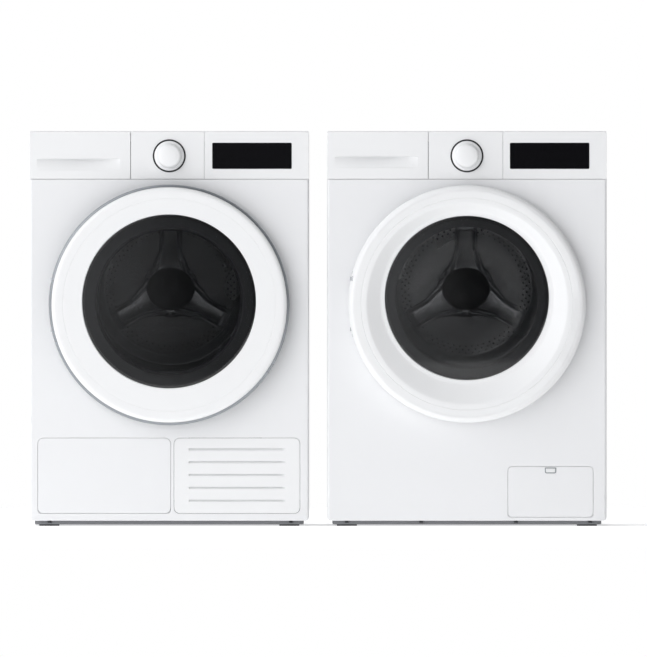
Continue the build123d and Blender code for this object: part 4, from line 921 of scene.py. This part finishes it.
# Cabinet skins. Enamelled sides with rounded outer corners, and a galvanised
# rear sheet with round openings, a sunken field that has two rows of upright
# slots, and three screws each along its top and bottom.
for machine in SIDES:
    depth = DEPTH[machine]
    form = bmesh.new()
    for side in (-1, 1):
        a, b = sorted((side * HALF, side * (HALF - 1.5)))
        soften(form, [e for e in brick(form, a, b, 21, depth, 16, HEIGHT - 22) if along(e, 2)
                      and abs(abs(e.verts[0].co.x) - HALF) < 0.1], 1.2, 3)
    fresh(machine + "_sides", form, machine, "cabinets", "white_enamel", ["side_panels"])
    back = depth - 2.4
    wide = HALF - 2.2
    holes = [(230, 780, 15), (-230, 700, 13)] + [(x, z, 16) for x in (-175, 175) for z in (418, 598)]
    if machine == "dryer":
        holes = [(-230, 760, 9.2)]
    form = bmesh.new()
    outline = box_loop(form, -wide, wide, 17, HEIGHT - 22.5, back)
    for x, z, radius in holes:
        outline += ring(form, z, radius, back, steps=40, x=x)
    half, z0, z1 = (110, 230, 720) if machine == "washer" else (210, 210, 690)
    loops = [box_loop(form, -half + s, half - s, z0 + s, z1 - s, back - y, 22 - s, 22 - s)
             for s, y in ((0, 0), (1, 0.4), (2.2, 1.6), (4.8, 4.4), (6, 5.6), (7, 6))]
    for a, b in zip(loops, loops[1:]):
        bmesh.ops.bridge_loops(form, edges=a + b)
    fill(form, outline + loops[0])
    slots = []
    count = 7 if machine == "washer" else 13
    for k in range(count):
        x = (k - (count - 1) / 2) * 26
        for z in (z0 + 45, z1 - 125):
            slots += box_loop(form, x - 3, x + 3, z, z + 80, back - 6, 2.9, 2.9, 5)
    fill(form, loops[-1] + slots)
    piece = fresh(machine + "_rear_sheet", form, machine, "cabinets", "galvanised", ["rear_panels"],
                  even=False)
    wall = piece.modifiers.new("sheet", "SOLIDIFY")
    wall.thickness, wall.offset = 0.0010, 0.0
    smooth = piece.modifiers.new("even", "WEIGHTED_NORMAL")
    smooth.keep_sharp, smooth.weight = True, 100
    form = bmesh.new()
    for x in (-wide + 12, 0, wide - 12):
        for z in (32, 800):
            place = Matrix.Translation((x, back + 1.1, z)) @ Matrix.Rotation(-math.pi / 2, 4, "X")
            bmesh.ops.create_cone(form, cap_ends=True, segments=20, radius1=5.2, radius2=4.0, depth=1.8,
                                  matrix=place)
    fresh(machine + "_rear_screws", form, machine, "cabinets", "stainless")


# Cord gland. A black moulded bush in the opening of the dryer's rear sheet,
# with a flange outside and a blind bore.
GLAND_X, GLAND_Z = -230, 760
form = bmesh.new()
lathe(form, [(GLAND_Z, 9.0, 586), (GLAND_Z, 9.0, 597), (GLAND_Z, 11.5, 597.8, 0.5),
             (GLAND_Z, 11.5, 599.6, 0.8), (GLAND_Z, 5, 599.6, 0.8), (GLAND_Z, 4.5, 592),
             (GLAND_Z, 1, 592)], steps=40, ends=True)
bmesh.ops.translate(form, verts=form.verts, vec=(GLAND_X, 0, 0))
fresh("dryer_cord_gland", form, "dryer", "cabinets", "black_plastic")


# Floor. A plain white matt sheet under both machines, slightly bright by
# itself so that it meets the white room without an edge.
sheet = bmesh.new()
bmesh.ops.create_grid(sheet, x_segments=1, y_segments=1, size=6.0)
floor_mesh = bpy.data.meshes.new("floor")
sheet.to_mesh(floor_mesh)
sheet.free()
floor = bpy.data.objects.new("floor", floor_mesh)
bpy.context.collection.objects.link(floor)
paper = finish("floor_white", (0.97, 0.97, 0.97), 0.9, grain=60, bump=0.0, cloud=0.0)
surface = paper.node_tree.nodes["Principled BSDF"]
surface.inputs["Emission Color"].default_value = (1, 1, 1, 1)
surface.inputs["Emission Strength"].default_value = 0.5
floor_mesh.materials.append(paper)
